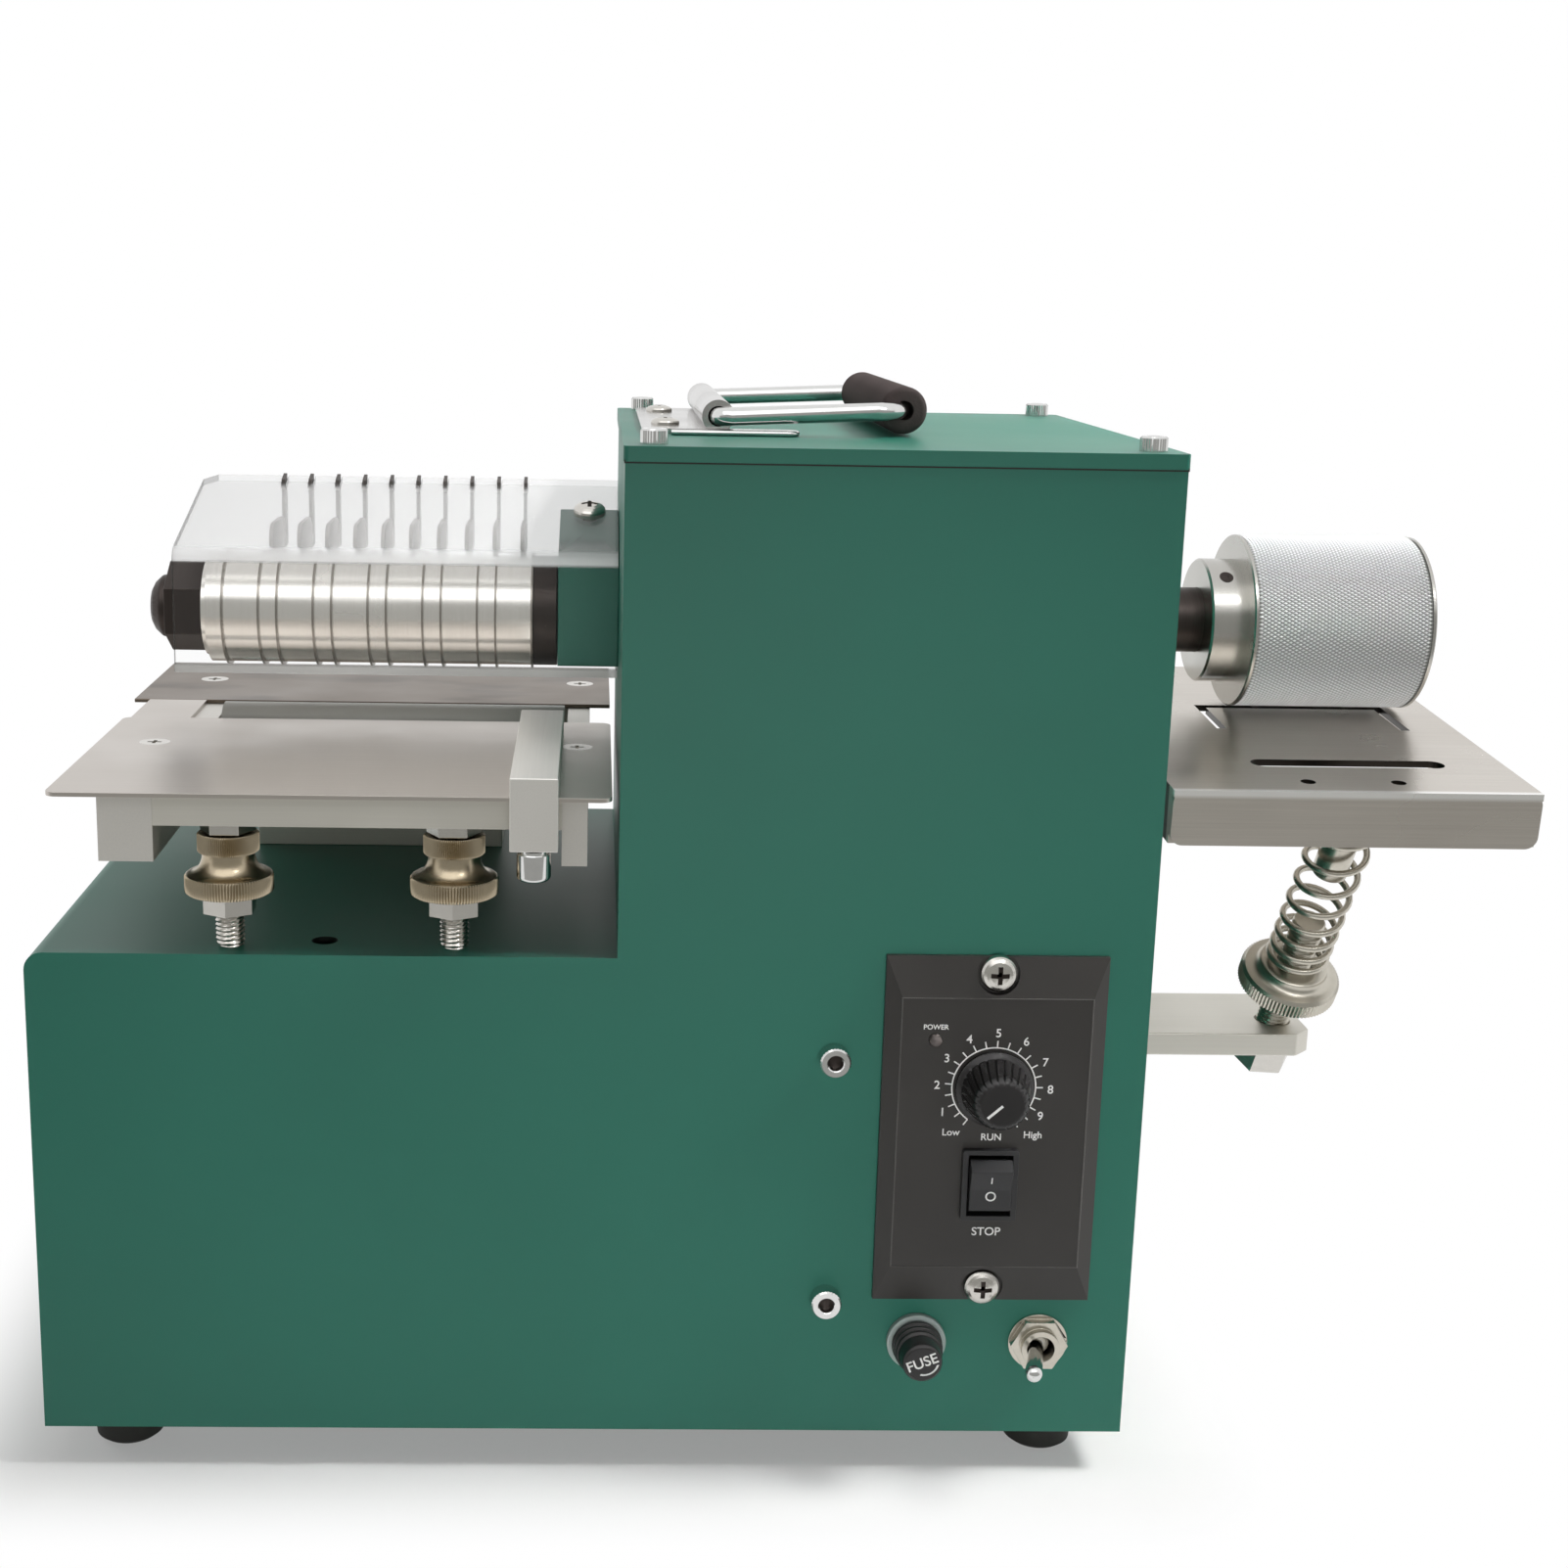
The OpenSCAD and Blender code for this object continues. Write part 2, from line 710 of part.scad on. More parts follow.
module end_cap() {
    r = arbor_d / 2 + 0.5;
    color(black) translate([clamp_nut_x, shaft_y, shaft_z]) rotate([0, -90, 0]) rotate_extrude() polygon([
        [0, 0], [r + 1, 0], [r + 1, cap_len * 0.4], [r - 1, cap_len * 0.8], [r - 3, cap_len], [0, cap_len]]);
}

module drum_collar() {
    color(black) on_shaft(collar_x, collar_len, ring_d, arbor_d + 2 * fit);
}

// Turned wheel with its hub towards the tower
module knurled_wheel() {
    c = 0.8;
    r = wheel_d / 2;
    bore = shaft_d / 2 + fit;
    color(bright) difference() {
        translate([hub_x, shaft_y, shaft_z]) rotate([0, 90, 0]) rotate_extrude() polygon([
            [bore, 0], [hub_d / 2 - c, 0], [hub_d / 2, c], [hub_d / 2, hub_len], [r - c, hub_len],
            [r, hub_len + c], [r, hub_len + wheel_w - c], [r - c, hub_len + wheel_w],
            [bore, hub_len + wheel_w]]);
        translate([hub_x + hub_len / 2, shaft_y, shaft_z]) rotate([-52, 0, 0])
            rotate([90, 0, 0]) translate([0, 0, hub_d / 2 - 6]) cylinder(h = 10, d = 4);
    }
}

// The guard's section: an upright front, a bend and a sloping top
module guard_section() {
    y1 = guard_y + guard_bend;
    top = shaft_z + block_above + left_of(y1 - shaft_y + block_front) + guard_t / cos(guard_slope);
    c = [y1, top - guard_bend / cos(guard_slope)];
    far = shaft_z + block_above + left_of(guard_rear - shaft_y + block_front);
    polygon(concat([[guard_y, guard_bottom]], arc(c, guard_bend, 180, 90 + guard_slope),
        [[guard_rear, far + guard_t / cos(guard_slope)], [guard_rear, far]],
        arc(c, guard_bend - guard_t, 90 + guard_slope, 180), [[guard_y + guard_t, guard_bottom]]));
}

// Places its children on the guard's sloping top at the screw
module on_guard_screw() {
    z = shaft_z + block_above + left_of(guard_screw_y - shaft_y + block_front);
    translate([guard_screw_x, guard_screw_y, z]) rotate([guard_slope, 0, 0])
        translate([0, 0, guard_t]) children();
}

module blade_guard() {
    x0 = xw - run - guard_len;
    color([0.9, 0.93, 0.92, 0.4]) difference() {
        along_x(x0, guard_len) guard_section();
        translate([x0, guard_rear, shaft_z]) rotate([0, 0, 45])
            translate([-guard_corner, -guard_corner, 0]) cube([2 * guard_corner, 2 * guard_corner, 60]);
        for (i = [0:finger_n - 1]) translate([finger_first + i * finger_pitch - 0.8, guard_rear - 7, shaft_z])
            cube([1.6, 8, 60]);
        on_guard_screw() translate([0, 0, -guard_t - 2]) cylinder(h = guard_t + 4, d = pan_d + 2 * fit);
    }
}

// A bar from the tower wall with thin fingers that stand over the back of the drum
module stripper_comb() {
    z0 = shaft_z - 2;
    r = finger_r;
    clear_r = blade_d / 2 + 1;
    y0 = shaft_y + finger_front;
    y1 = comb_y + comb_d;
    top = shaft_z + finger_top;
    color(steel) {
        translate([finger_first - 6, comb_y, z0]) cube([xw - finger_first + 6, comb_d, comb_h]);
        for (i = [0:finger_n - 1])
            along_x(finger_first + i * finger_pitch - finger_t / 2, finger_t) difference() {
                polygon(concat([[y0, z0 + 4], [y1, z0 + 4]], arc([y1 - r, top - r], r, 0, 90),
                    arc([y0 + r, top - r], r, 90, 180)));
                translate([shaft_y, shaft_z]) circle(r = clear_r);
            }
    }
}

function handle_places() = [for (s = [-1, 1]) [handle_plate_x - 5, handle_y + s * handle_w * 0.28]];

module pan_screws() {
    color(bright) {
        on_guard_screw() pan_screw(pan_d, pan_head_d, pan_head_h, guard_t + 8);
        for (s = [-1, 1]) on_front(panel_x, panel_z + s * panel_screw_at, panel_t)
            pan_screw(pan_d, pan_head_d, pan_head_h, panel_t + sheet_t + 4);
        for (p = handle_places()) translate([p.x, p.y, z_lid + handle_plate_t])
            pan_screw(lid_screw_d, handle_screw_d, 2, handle_plate_t + lid_t + 3);
    }
}

module table_screw_holes(d) {
    for (p = table_screw_places()) translate([p.x, p.y, arm_z + arm_h - 9]) cylinder(h = 12, d = d);
}

function table_screw_places() = [for (x = [left_arm_x + screw_in, right_arm_x + right_arm_w / 2])
    for (y = [front_screw_y, rear_screw_y]) [x, y]];

module table_arms() {
    color(alu) difference() {
        union() {
            translate([left_arm_x, yf, arm_z]) cube([left_arm_w, arm_len, arm_h]);
            translate([right_arm_x, yf, arm_z]) cube([right_arm_w, arm_len, arm_h]);
        }
        translate([left_arm_x - 1, shaft_y, roller_z]) rotate([0, 90, 0])
            cylinder(h = table_reach, d = journal_d + 2 * fit);
        table_screw_holes(screw_d + 2 * fit);
    }
}

function jack_places() = [for (s = [-1, 1]) jack_mid + s * jack_gap / 2];
function post_places() = [guide_block_x + post_inset, guide_block_x + guide_block_w - post_inset];

// Front bar on the jack screws and rear bar on the guide posts, both between the arms
module table_bars() {
    color(alu) {
        difference() {
            translate([bar_x, yf, bar_z]) cube([bar_len, bar_d, bar_h]);
            for (x = jack_places()) translate([x, jack_y, bar_z - 1])
                cylinder(h = bar_h + 2, d = jack_d + 2 * fit);
        }
        difference() {
            translate([bar_x, rear_bar_y, arm_z + 1]) cube([bar_len, bar_d, arm_h - 1]);
            for (x = post_places()) translate([x, post_y, arm_z])
                cylinder(h = arm_h + 1, d = post_d + 2 * fit);
        }
    }
}

module flat_head_cuts() {
    for (p = table_screw_places()) translate([p.x, p.y, table_z - plate_t])
        cylinder(h = plate_t + EPS, d1 = screw_d + 2 * fit, d2 = flat_head_d + 2 * fit);
}

// Front plate with round front corners and a tab behind its left end
module front_plate() {
    w = table_reach - plate_right;
    r = 3;
    color(steel) difference() {
        union() {
            translate([xw - plate_right - w / 2, plate_front + front_plate_d / 2, frame_z])
                linear_extrude(plate_t) round_rect(w, front_plate_d, r);
            translate([tab_x, plate_front + front_plate_d - tab_lap, frame_z])
                cube([tab_w, rear_plate_y - run - plate_front - front_plate_d + tab_lap, plate_t]);
        }
        flat_head_cuts();
    }
}

module rear_plate() {
    w = table_reach - plate_right + rear_plate_more;
    color([0.42, 0.39, 0.37]) difference() {
        translate([xw - plate_right - w, rear_plate_y, frame_z]) cube([w, rear_plate_d, plate_t]);
        flat_head_cuts();
    }
}

module table_screws() {
    slot = 4;
    color(bright) for (p = table_screw_places()) translate([p.x, p.y, table_z]) difference() {
        union() {
            translate([0, 0, -plate_t]) cylinder(h = plate_t, d1 = screw_d, d2 = flat_head_d);
            translate([0, 0, -plate_t - 6]) cylinder(h = 6 + EPS, d = screw_d);
        }
        for (a = [0, 90]) rotate([0, 0, a]) translate([-slot / 2, -0.5, -0.9]) cube([slot, 1, 2]);
    }
}

module jack_nuts() {
    color(bright) for (x = jack_places()) translate([x, jack_y, jack_nut_z])
        hex_nut(jack_d * nut_ratio * 0.87, jack_nut_h, jack_d + 2 * fit);
}

// Stud, knurled wheel and lock nut that turn together on the shelf
module jack(x) {
    r = jack_wheel_d / 2;
    bore = jack_d / 2 + fit;
    translate([x, jack_y, 0]) {
        color(bright) translate([0, 0, zs]) cylinder(h = frame_z - 0.5 - zs, d = jack_d);
        color(nickel) translate([0, 0, jack_wheel_z]) rotate_extrude() polygon([
            [bore, 0], [r - 2.6, 0], [r - 0.6, 0.8], [r, 1.8], [r, 4.2], [r - 0.8, 5.2], [r - 2.6, 6],
            [r - 4.6, 7.2], [r - 5.7, 8.6], [r - 6, 10], [r - 5.6, 11.4], [r - 3.8, 12.4],
            [r - 3.8, jack_wheel_h], [bore, jack_wheel_h]]);
        color(bright) translate([0, 0, lock_nut_z]) hex_nut(jack_d * nut_ratio * 0.87, lock_nut_h, 2 * bore);
    }
}

module left_jack() jack(jack_places()[0]);

module right_jack() jack(jack_places()[1]);

module guide_block() {
    color(alu) difference() {
        translate([guide_block_x, guide_block_y, zs]) cube([guide_block_w, guide_block_d, guide_block_h]);
        for (x = post_places()) translate([x, post_y, zs + guide_block_h - post_sink])
            cylinder(h = post_sink + 1, d = post_d + 2 * fit);
    }
}

module guide_posts() {
    z0 = zs + guide_block_h - post_sink;
    color(bright) for (x = post_places()) translate([x, post_y, z0]) cylinder(h = post_top - z0, d = post_d);
}

module pressure_roller() {
    x0 = bar_x + 1;
    x1 = right_arm_x - 1;
    color(bright) translate([0, shaft_y, roller_z]) rotate([0, 90, 0]) {
        translate([0, 0, x0]) cylinder(h = x1 - x0, d = roller_d);
        translate([0, 0, left_arm_x]) cylinder(h = right_arm_x + right_arm_w - left_arm_x, d = journal_d);
    }
}

// A hook over the plate's front edge that sets the strap's width
module edge_guide() {
    y0 = guide_front;
    z0 = table_z - guide_drop;
    color(alu) difference() {
        union() {
            translate([guide_x, y0, table_z + run]) cube([guide_w, guide_reach, guide_top - run]);
            translate([guide_x, y0, z0]) cube([guide_w, guide_hook, guide_drop + guide_top]);
        }
        translate([guide_x + guide_w / 2, y0 + guide_hook / 2, z0 - 1])
            cylinder(h = 11, d = guide_thread_d + 2 * fit);
    }
}

module edge_guide_screw() {
    y0 = guide_front + guide_hook / 2;
    color(bright) translate([guide_x + guide_w / 2, y0, table_z - guide_drop]) {
        cylinder(h = 9, d = guide_thread_d);
        translate([0, 0, -guide_screw_h - run]) cylinder(h = guide_screw_h, d = guide_screw_d);
        translate([0, 0, -run - EPS]) cylinder(h = run + 2 * EPS, d = guide_thread_d);
    }
}

// Folded plate: a top, a skirt at the front and cheeks at both sides that carry the hinge pin
module spring_table() {
    t = spring_table_t;
    w = spring_table_w;
    x0 = spring_table_x;
    y0 = -spring_table_len;
    len = spring_table_len + spring_table_rear;
    z0 = hinge_drop - skirt_h;
    tongue_x = wheel_x - 8.5;
    tongue_w = wheel_w + 1;
    tongue_y = shaft_y - hinge_y - 24;
    tongue_d = 26;
    color(steel) on_table() difference() {
        union() {
            translate([x0, y0, hinge_drop - t]) cube([w, len, t]);
            translate([x0 + w / 2, y0 + t, z0 + skirt_h / 2]) rotate([90, 0, 0])
                linear_extrude(t) round_rect(w, skirt_h, 3.5);
            for (x = [x0, x0 + w - t]) translate([x, y0 + t, z0]) cube([t, len - t, skirt_h]);
        }
        for (x = [tongue_x, tongue_x + tongue_w])
            translate([x, tongue_y, 0]) cube([slit_w, tongue_d, skirt_h]);
        translate([tongue_x, tongue_y + tongue_d - slit_w, 0]) cube([tongue_w + slit_w, slit_w, skirt_h]);
        translate([x0 + slot_at.x, y0 + slot_at.y, 0])
            linear_extrude(skirt_h) round_rect(slot_size.x, slot_size.y, slot_size.y / 2 - EPS);
        for (x = hole_at) translate([x0 + x, y0 + hole_in, 0]) cylinder(h = skirt_h, d = hole_d);
        translate([x0 - 1, 0, 0]) rotate([0, 90, 0]) cylinder(h = w + 2, d = hinge_pin_d + 2 * fit);
    }
}

module table_hinge_pin() {
    x0 = xr - sheet_t - 4;
    x1 = spring_table_x + spring_table_w + pin_over;
    color(bright) translate([0, hinge_y, hinge_z]) rotate([0, 90, 0]) {
        translate([0, 0, x0]) cylinder(h = x1 - x0, d = hinge_pin_d);
        translate([0, 0, xr]) cylinder(h = spring_table_x - run - xr, d = hinge_pin_d + 5);
    }
}

module spring_arm() {
    c = 5;
    y0 = spring_arm_y;
    y1 = spring_arm_y + spring_arm_d;
    x1 = xr + spring_arm_len;
    color(alu) difference() {
        translate([0, 0, arm_top - arm_t]) linear_extrude(arm_t)
            polygon([[xr, y0], [x1 - c, y0], [x1, y0 + c], [x1, y1 - c], [x1 - c, y1], [xr, y1]]);
        on_stud() translate([0, 0, -stud_tail]) cylinder(h = 2 * stud_tail, d = stud_d + 2 * fit);
    }
}

module spring_stud() {
    color(nickel) on_stud() translate([0, 0, -stud_tail]) cylinder(h = stud_len + stud_tail, d = stud_d);
}

// Nut under the arm, its upper face cut level with the arm
module stud_nut() {
    color(bright) difference() {
        on_stud() translate([0, 0, -stud_tail]) hex_nut(stud_d * 1.6, stud_tail, stud_d + 2 * fit);
        translate([stud_x - 40, stud_y - 40, arm_top - arm_t]) cube([80, 80, 40]);
    }
}

// Knurled nut with a stepped seat for the spring
module spring_nut() {
    r = spring_nut_d / 2;
    bore = stud_d / 2 + fit;
    color(nickel) on_stud() translate([0, 0, spring_nut_at]) rotate_extrude() polygon([
        [bore, 0], [r - 1, 0], [r, 1], [r, spring_nut_h - 1.4], [r - 1.4, spring_nut_h],
        [seat_d / 2 + 1.6, spring_nut_h], [seat_d / 2, spring_nut_h + 1],
        [seat_d / 2, spring_nut_h + seat_h], [bore, spring_nut_h + seat_h]]);
}

// Length from the arm's top along the stud's axis to the underside of the sprung table
function stud_reach() = let (
    n = [0, -sin(table_tilt), cos(table_tilt)],
    a = [sin(stud_side) * cos(stud_lean), -sin(stud_lean), cos(stud_side) * cos(stud_lean)],
    p = [0, hinge_y - stud_y, hinge_z - arm_top]) (p * n + hinge_drop - spring_table_t) / (a * n);

// Stud under the sprung table, in line with the one on the arm
module table_stud() {
    color(nickel) difference() {
        on_stud() translate([0, 0, table_stud_at])
            cylinder(h = stud_reach() + 10 - table_stud_at, d = stud_d);
        on_table() translate([-body_w, -body_d * 2, hinge_drop - spring_table_t])
            cube([2 * body_w, 4 * body_d, 40]);
    }
}

function coil_point(t, h, r) = [r * cos(360 * spring_turns * t), r * sin(360 * spring_turns * t), h * t];

// A coil as a chain of short round rods, each turned to its place on the helix
module table_spring() {
    z0 = spring_nut_at + spring_nut_h + seat_h + run + spring_wire / 2;
    h = stud_reach() - spring_d / 2 * tan(stud_lean + table_tilt) - spring_wire - z0;
    r = (spring_d - spring_wire) / 2;
    per_turn = 12;
    sides = 6;
    n = spring_turns * per_turn;
    rise = atan2(h / n, 2 * PI * r / per_turn);
    rings = [for (i = [0:n]) let (a = 360 * i / per_turn) [for (k = [0:sides - 1])
        let (q = 360 * k / sides, u = spring_wire / 2 * cos(q), v = spring_wire / 2 * sin(q))
            coil_point(i / n, h, r) + u * [cos(a), sin(a), 0]
            + v * [sin(a) * sin(rise), -cos(a) * sin(rise), cos(rise)]]];
    points = [for (ring = rings) for (q = ring) q];
    walls = [for (i = [0:n - 1]) for (k = [0:sides - 1])
        let (m = (k + 1) % sides, p = i * sides, q = (i + 1) * sides)
            each [[p + k, q + k, q + m], [p + k, q + m, p + m]]];
    ends = [[for (k = [0:sides - 1]) k], [for (k = [0:sides - 1]) n * sides + sides - 1 - k]];
    color(nickel) on_stud() translate([0, 0, z0]) polyhedron(points, concat(walls, ends));
}

module panel_openings() {
    translate([0, knob_z - panel_z, -1]) cylinder(h = 10, d = spindle_d + 2 * run);
    translate([lamp_x - panel_x, lamp_z - panel_z, -1]) cylinder(h = 10, d = lamp_d + 2 * fit);
    translate([0, rocker_z - panel_z, -1]) linear_extrude(10)
        square([bezel_w - 1, bezel_h - 1], center = true);
    for (s = [-1, 1]) translate([0, s * panel_screw_at, -1]) cylinder(h = 10, d = pan_d + 2 * fit);
}

// A low hipped section: upright edges, then a slope up to a flat top
module hip(half, slope) {
    polygon([[-half, 0], [half, 0], [half, panel_t], [half - slope, panel_t + panel_rise],
        [slope - half, panel_t + panel_rise], [-half, panel_t]]);
}

// Face plate that slopes up on all sides, with round seats for its screws
module control_panel() {
    color(black) on_front(panel_x, panel_z) difference() {
        intersection() {
            along_y(-panel_h / 2, panel_h) hip(panel_w / 2, panel_side);
            along_x(-panel_w / 2, panel_w) hip(panel_h / 2, panel_end_h);
        }
        for (s = [-1, 1]) translate([0, s * panel_screw_at, panel_t]) cylinder(h = 10, d = pan_head_d + 1.5);
        panel_openings();
    }
}

module controller_box() {
    color([0.15, 0.15, 0.16]) on_front(panel_x, panel_z) translate([0, 0, -box_d]) difference() {
        linear_extrude(box_d) round_rect(box_w, box_h, 2);
        translate([0, knob_z - panel_z, box_d - 8]) cylinder(h = 10, d = spindle_d + 2 * run);
    }
}

// Tapered knob on its spindle, with a skirt at its foot and a bevelled face
module speed_knob() {
    r = knob_d / 2;
    foot = panel_t + panel_rise + run;
    skirt = foot + 2.2;
    top = foot + knob_len;
    color(black) on_front(panel_x, knob_z) rotate_extrude() polygon([
        [0, -6], [spindle_d / 2, -6], [spindle_d / 2, foot], [r, foot], [r, skirt], [r - 1.2, skirt + 0.6],
        [r - 2.9, top - 1.8], [r - 4.5, top], [0, top]]);
}

module power_lamp() {
    color([0.35, 0.3, 0.28]) on_front(lamp_x, lamp_z) {
        cylinder(h = panel_t + panel_rise + 0.4, d = lamp_d);
        translate([0, 0, panel_t + panel_rise + 0.4]) intersection() {
            sphere(d = lamp_d);
            cylinder(h = lamp_d, d = 2 * lamp_d);
        }
    }
}

module rocker_frame() {
    out = panel_t + panel_rise;
    color(black) on_front(panel_x, rocker_z) difference() {
        union() {
            linear_extrude(out) square([bezel_w - 1 - 2 * fit, bezel_h - 1 - 2 * fit], center = true);
            translate([0, 0, out]) linear_extrude(bezel_t) round_rect(bezel_w, bezel_h, 0.8);
        }
        translate([0, 0, -1]) linear_extrude(out + bezel_t + 2)
            square([rocker_w + 2 * run, rocker_h + 1.6], center = true);
    }
}

// Two-sided key, tipped with its lower half pressed
module rocker() {
    h = rocker_h / 2;
    color(black) translate([panel_x - rocker_w / 2, panel_face - bezel_t + 1, rocker_z])
        rotate([rocker_rest, 0, 0]) along_x(0, rocker_w)
            polygon([[2.6, -h + 1.4], [2.6, h - 1.4], [-0.6, h], [-3.6, h - 2], [-3, 0],
                [-3.6, 2 - h], [-0.6, -h]]);
}

module fuse_holder() {
    bore = fuse_d - 3;
    color([0.45, 0.45, 0.45]) on_front(fuse_x, fuse_z) difference() {
        union() {
            cylinder(h = fuse_rim_t, d = fuse_d + 4.5);
            translate([0, 0, -28]) cylinder(h = 28 + EPS, d = fuse_d);
        }
        translate([0, 0, -24]) cylinder(h = 30, d = bore);
    }
}

// Cap that turns to release the fuse, with three ribs at its foot
module fuse_cap() {
    r = fuse_d / 2;
    stem = r - 1.5 - run;
    h = fuse_cap_len;
    color(black) on_front(fuse_x, fuse_z, fuse_rim_t + run) rotate_extrude() polygon([
        [0, -fuse_stem], [stem, -fuse_stem], [stem, 0], [r + 1, 0], [r + 1, 1.4], [r + 0.2, 1.8],
        [r + 0.8, 2.4], [r + 0.8, 3.6], [r, 4], [r + 0.5, 4.6], [r + 0.5, 5.6], [r - 0.2, 6.2],
        [r - 0.5, h - 0.8], [r - 1.2, h], [0, h]]);
}

// Washer, nut and threaded neck of the mains switch
module toggle_base() {
    color(bright) on_front(toggle_x, toggle_z) difference() {
        union() {
            cylinder(h = 1, d = 16.5);
            translate([0, 0, 1 - EPS]) cylinder(h = 2.4, d = 16, $fn = 6);
            translate([0, 0, -14]) cylinder(h = 14 + toggle_neck, d = toggle_d);
        }
        translate([0, 0, -4]) cylinder(h = 20, d = toggle_bore);
    }
}

module toggle_lever() {
    ball = toggle_bore - 2 * run;
    tip_d = 4.8;
    color(bright) on_front(toggle_x, toggle_z) rotate([0, -toggle_rest, 0]) {
        sphere(d = ball);
        cylinder(h = toggle_len, d1 = 3.6, d2 = tip_d);
        translate([0, 0, toggle_len]) sphere(d = tip_d);
    }
}

// Base plate with a curled tube that holds the handle's rod
module handle_plate() {
    tube_w = handle_w - 2 * handle_rod_d - 2 * run;
    color(bright) difference() {
        union() {
            translate([handle_plate_x, handle_y, z_lid]) linear_extrude(handle_plate_t)
                round_rect(handle_plate_w, tube_w, 3);
            translate([handle_x, handle_y + tube_w / 2, handle_z]) rotate([90, 0, 0])
                cylinder(h = tube_w, d = hinge_tube_d);
            translate([handle_x - hinge_tube_d / 4, handle_y - tube_w / 2, z_lid])
                cube([hinge_tube_d / 2, tube_w, handle_z - z_lid - handle_rod_d / 2]);
        }
        translate([handle_x, handle_y + handle_w, handle_z]) rotate([90, 0, 0])
            cylinder(h = 2 * handle_w, d = handle_rod_d + 2 * run);
        for (p = handle_places()) translate([p.x, p.y, z_lid - 1]) cylinder(h = 4, d = lid_screw_d + 2 * fit);
    }
}

// Places its children in the handle's own frame, lying towards the right
module on_handle() translate([handle_x, handle_y, handle_z]) rotate([0, -handle_rise, 0]) children();

module rod_y(x, w) translate([x, w / 2, 0]) rotate([90, 0, 0]) cylinder(h = w, d = handle_rod_d);

// Round rod bent to a rectangle: one long side in the tube, the other in the grip
module handle_bail() {
    side = (handle_w - handle_rod_d) / 2;
    color(bright) on_handle() {
        rod_y(0, handle_w - handle_rod_d);
        rod_y(handle_reach, handle_w - handle_rod_d);
        for (s = [-1, 1]) translate([0, s * side, 0]) {
            rotate([0, 90, 0]) cylinder(h = handle_reach, d = handle_rod_d);
            sphere(d = handle_rod_d);
            translate([handle_reach, 0, 0]) sphere(d = handle_rod_d);
        }
    }
}

module handle_grip() {
    w = handle_w - 2 * handle_rod_d - 1;
    color(black) on_handle() translate([handle_reach, w / 2, 0]) rotate([90, 0, 0]) difference() {
        cylinder(h = w, d = grip_d);
        translate([0, 0, -1]) cylinder(h = w + 2, d = handle_rod_d + 2 * fit);
    }
}

module cable_gland() {
    color(black) on_rear(gland_x, gland_z) difference() {
        union() {
            translate([0, 0, -12]) cylinder(h = 12 + EPS, d = gland_d);
            cylinder(h = 5, d = gland_d + 8, $fn = 6);
            translate([0, 0, 5 - EPS]) cylinder(h = 9, d1 = gland_d + 3, d2 = gland_d - 2);
        }
        translate([0, 0, -13]) cylinder(h = 30, d = 7);
    }
}

housing();
rear_panel();
lid();
socket_screws();
housing_screws();
rubber_feet();
motor_bracket();
gear_motor();
motor_pulley();
drive_belt();
shaft_pulley();
main_shaft();
left_bush();
right_bush();
bearing_block();
spacer_rings();
cutter_blades();
clamp_nut();
clamp_washer();
end_cap();
drum_collar();
knurled_wheel();
blade_guard();
stripper_comb();
pan_screws();
table_arms();
table_bars();
front_plate();
rear_plate();
table_screws();
jack_nuts();
left_jack();
right_jack();
guide_block();
guide_posts();
pressure_roller();
edge_guide();
edge_guide_screw();
spring_table();
table_hinge_pin();
spring_arm();
spring_stud();
stud_nut();
spring_nut();
table_stud();
table_spring();
control_panel();
controller_box();
speed_knob();
power_lamp();
rocker_frame();
rocker();
fuse_holder();
fuse_cap();
toggle_base();
toggle_lever();
handle_plate();
handle_bail();
handle_grip();
cable_gland();
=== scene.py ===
"""Looks of a bench machine that cuts leather into straps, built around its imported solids."""

import json
import math

import bpy
from mathutils import Matrix, Vector


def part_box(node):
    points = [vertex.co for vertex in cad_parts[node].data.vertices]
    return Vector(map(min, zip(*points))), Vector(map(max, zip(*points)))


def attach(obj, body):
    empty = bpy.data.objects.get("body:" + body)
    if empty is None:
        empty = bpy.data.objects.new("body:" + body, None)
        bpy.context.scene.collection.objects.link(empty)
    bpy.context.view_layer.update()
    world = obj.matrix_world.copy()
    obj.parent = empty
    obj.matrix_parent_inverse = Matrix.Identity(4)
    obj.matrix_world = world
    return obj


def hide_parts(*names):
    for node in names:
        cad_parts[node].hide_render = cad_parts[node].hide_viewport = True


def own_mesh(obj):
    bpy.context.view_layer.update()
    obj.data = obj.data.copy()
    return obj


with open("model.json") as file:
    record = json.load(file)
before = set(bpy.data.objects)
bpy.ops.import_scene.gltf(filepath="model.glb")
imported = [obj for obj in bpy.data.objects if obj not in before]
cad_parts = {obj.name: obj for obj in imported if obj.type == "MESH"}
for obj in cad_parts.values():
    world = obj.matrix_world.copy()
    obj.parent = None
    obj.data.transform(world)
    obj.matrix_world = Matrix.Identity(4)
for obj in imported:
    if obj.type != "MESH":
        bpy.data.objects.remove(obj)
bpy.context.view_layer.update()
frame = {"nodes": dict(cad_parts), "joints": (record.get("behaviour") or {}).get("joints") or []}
NODES = frame["nodes"]
JOINTS = {j["name"]: j for j in frame["joints"]}
MM = 0.001

# Radius at which a turned profile reaches its axis
CORE = 0.01 * MM
# Depth of the knurled wheel's grooves
KNURL_DEPTH = 0.7 * MM
# The hole in the shelf, from the housing's front left corner
HOLE_AT = (78.4 * MM, 13.2 * MM)
HOLE_R = 3.5 * MM
# Slope of the guard and of the bearing block's top
SLOPE = math.radians(16)
# Height of the marks printed on the front
PRINT = 0.06 * MM
# A capital letter's share of the font's size
CAPITAL = 0.69
# Most of a noise lies between these values
NOISE_SPAN = (0.3, 0.7)


def joint_at(name):
    """A point on a joint's axis."""
    return Vector(JOINTS[name]["pos_m"])


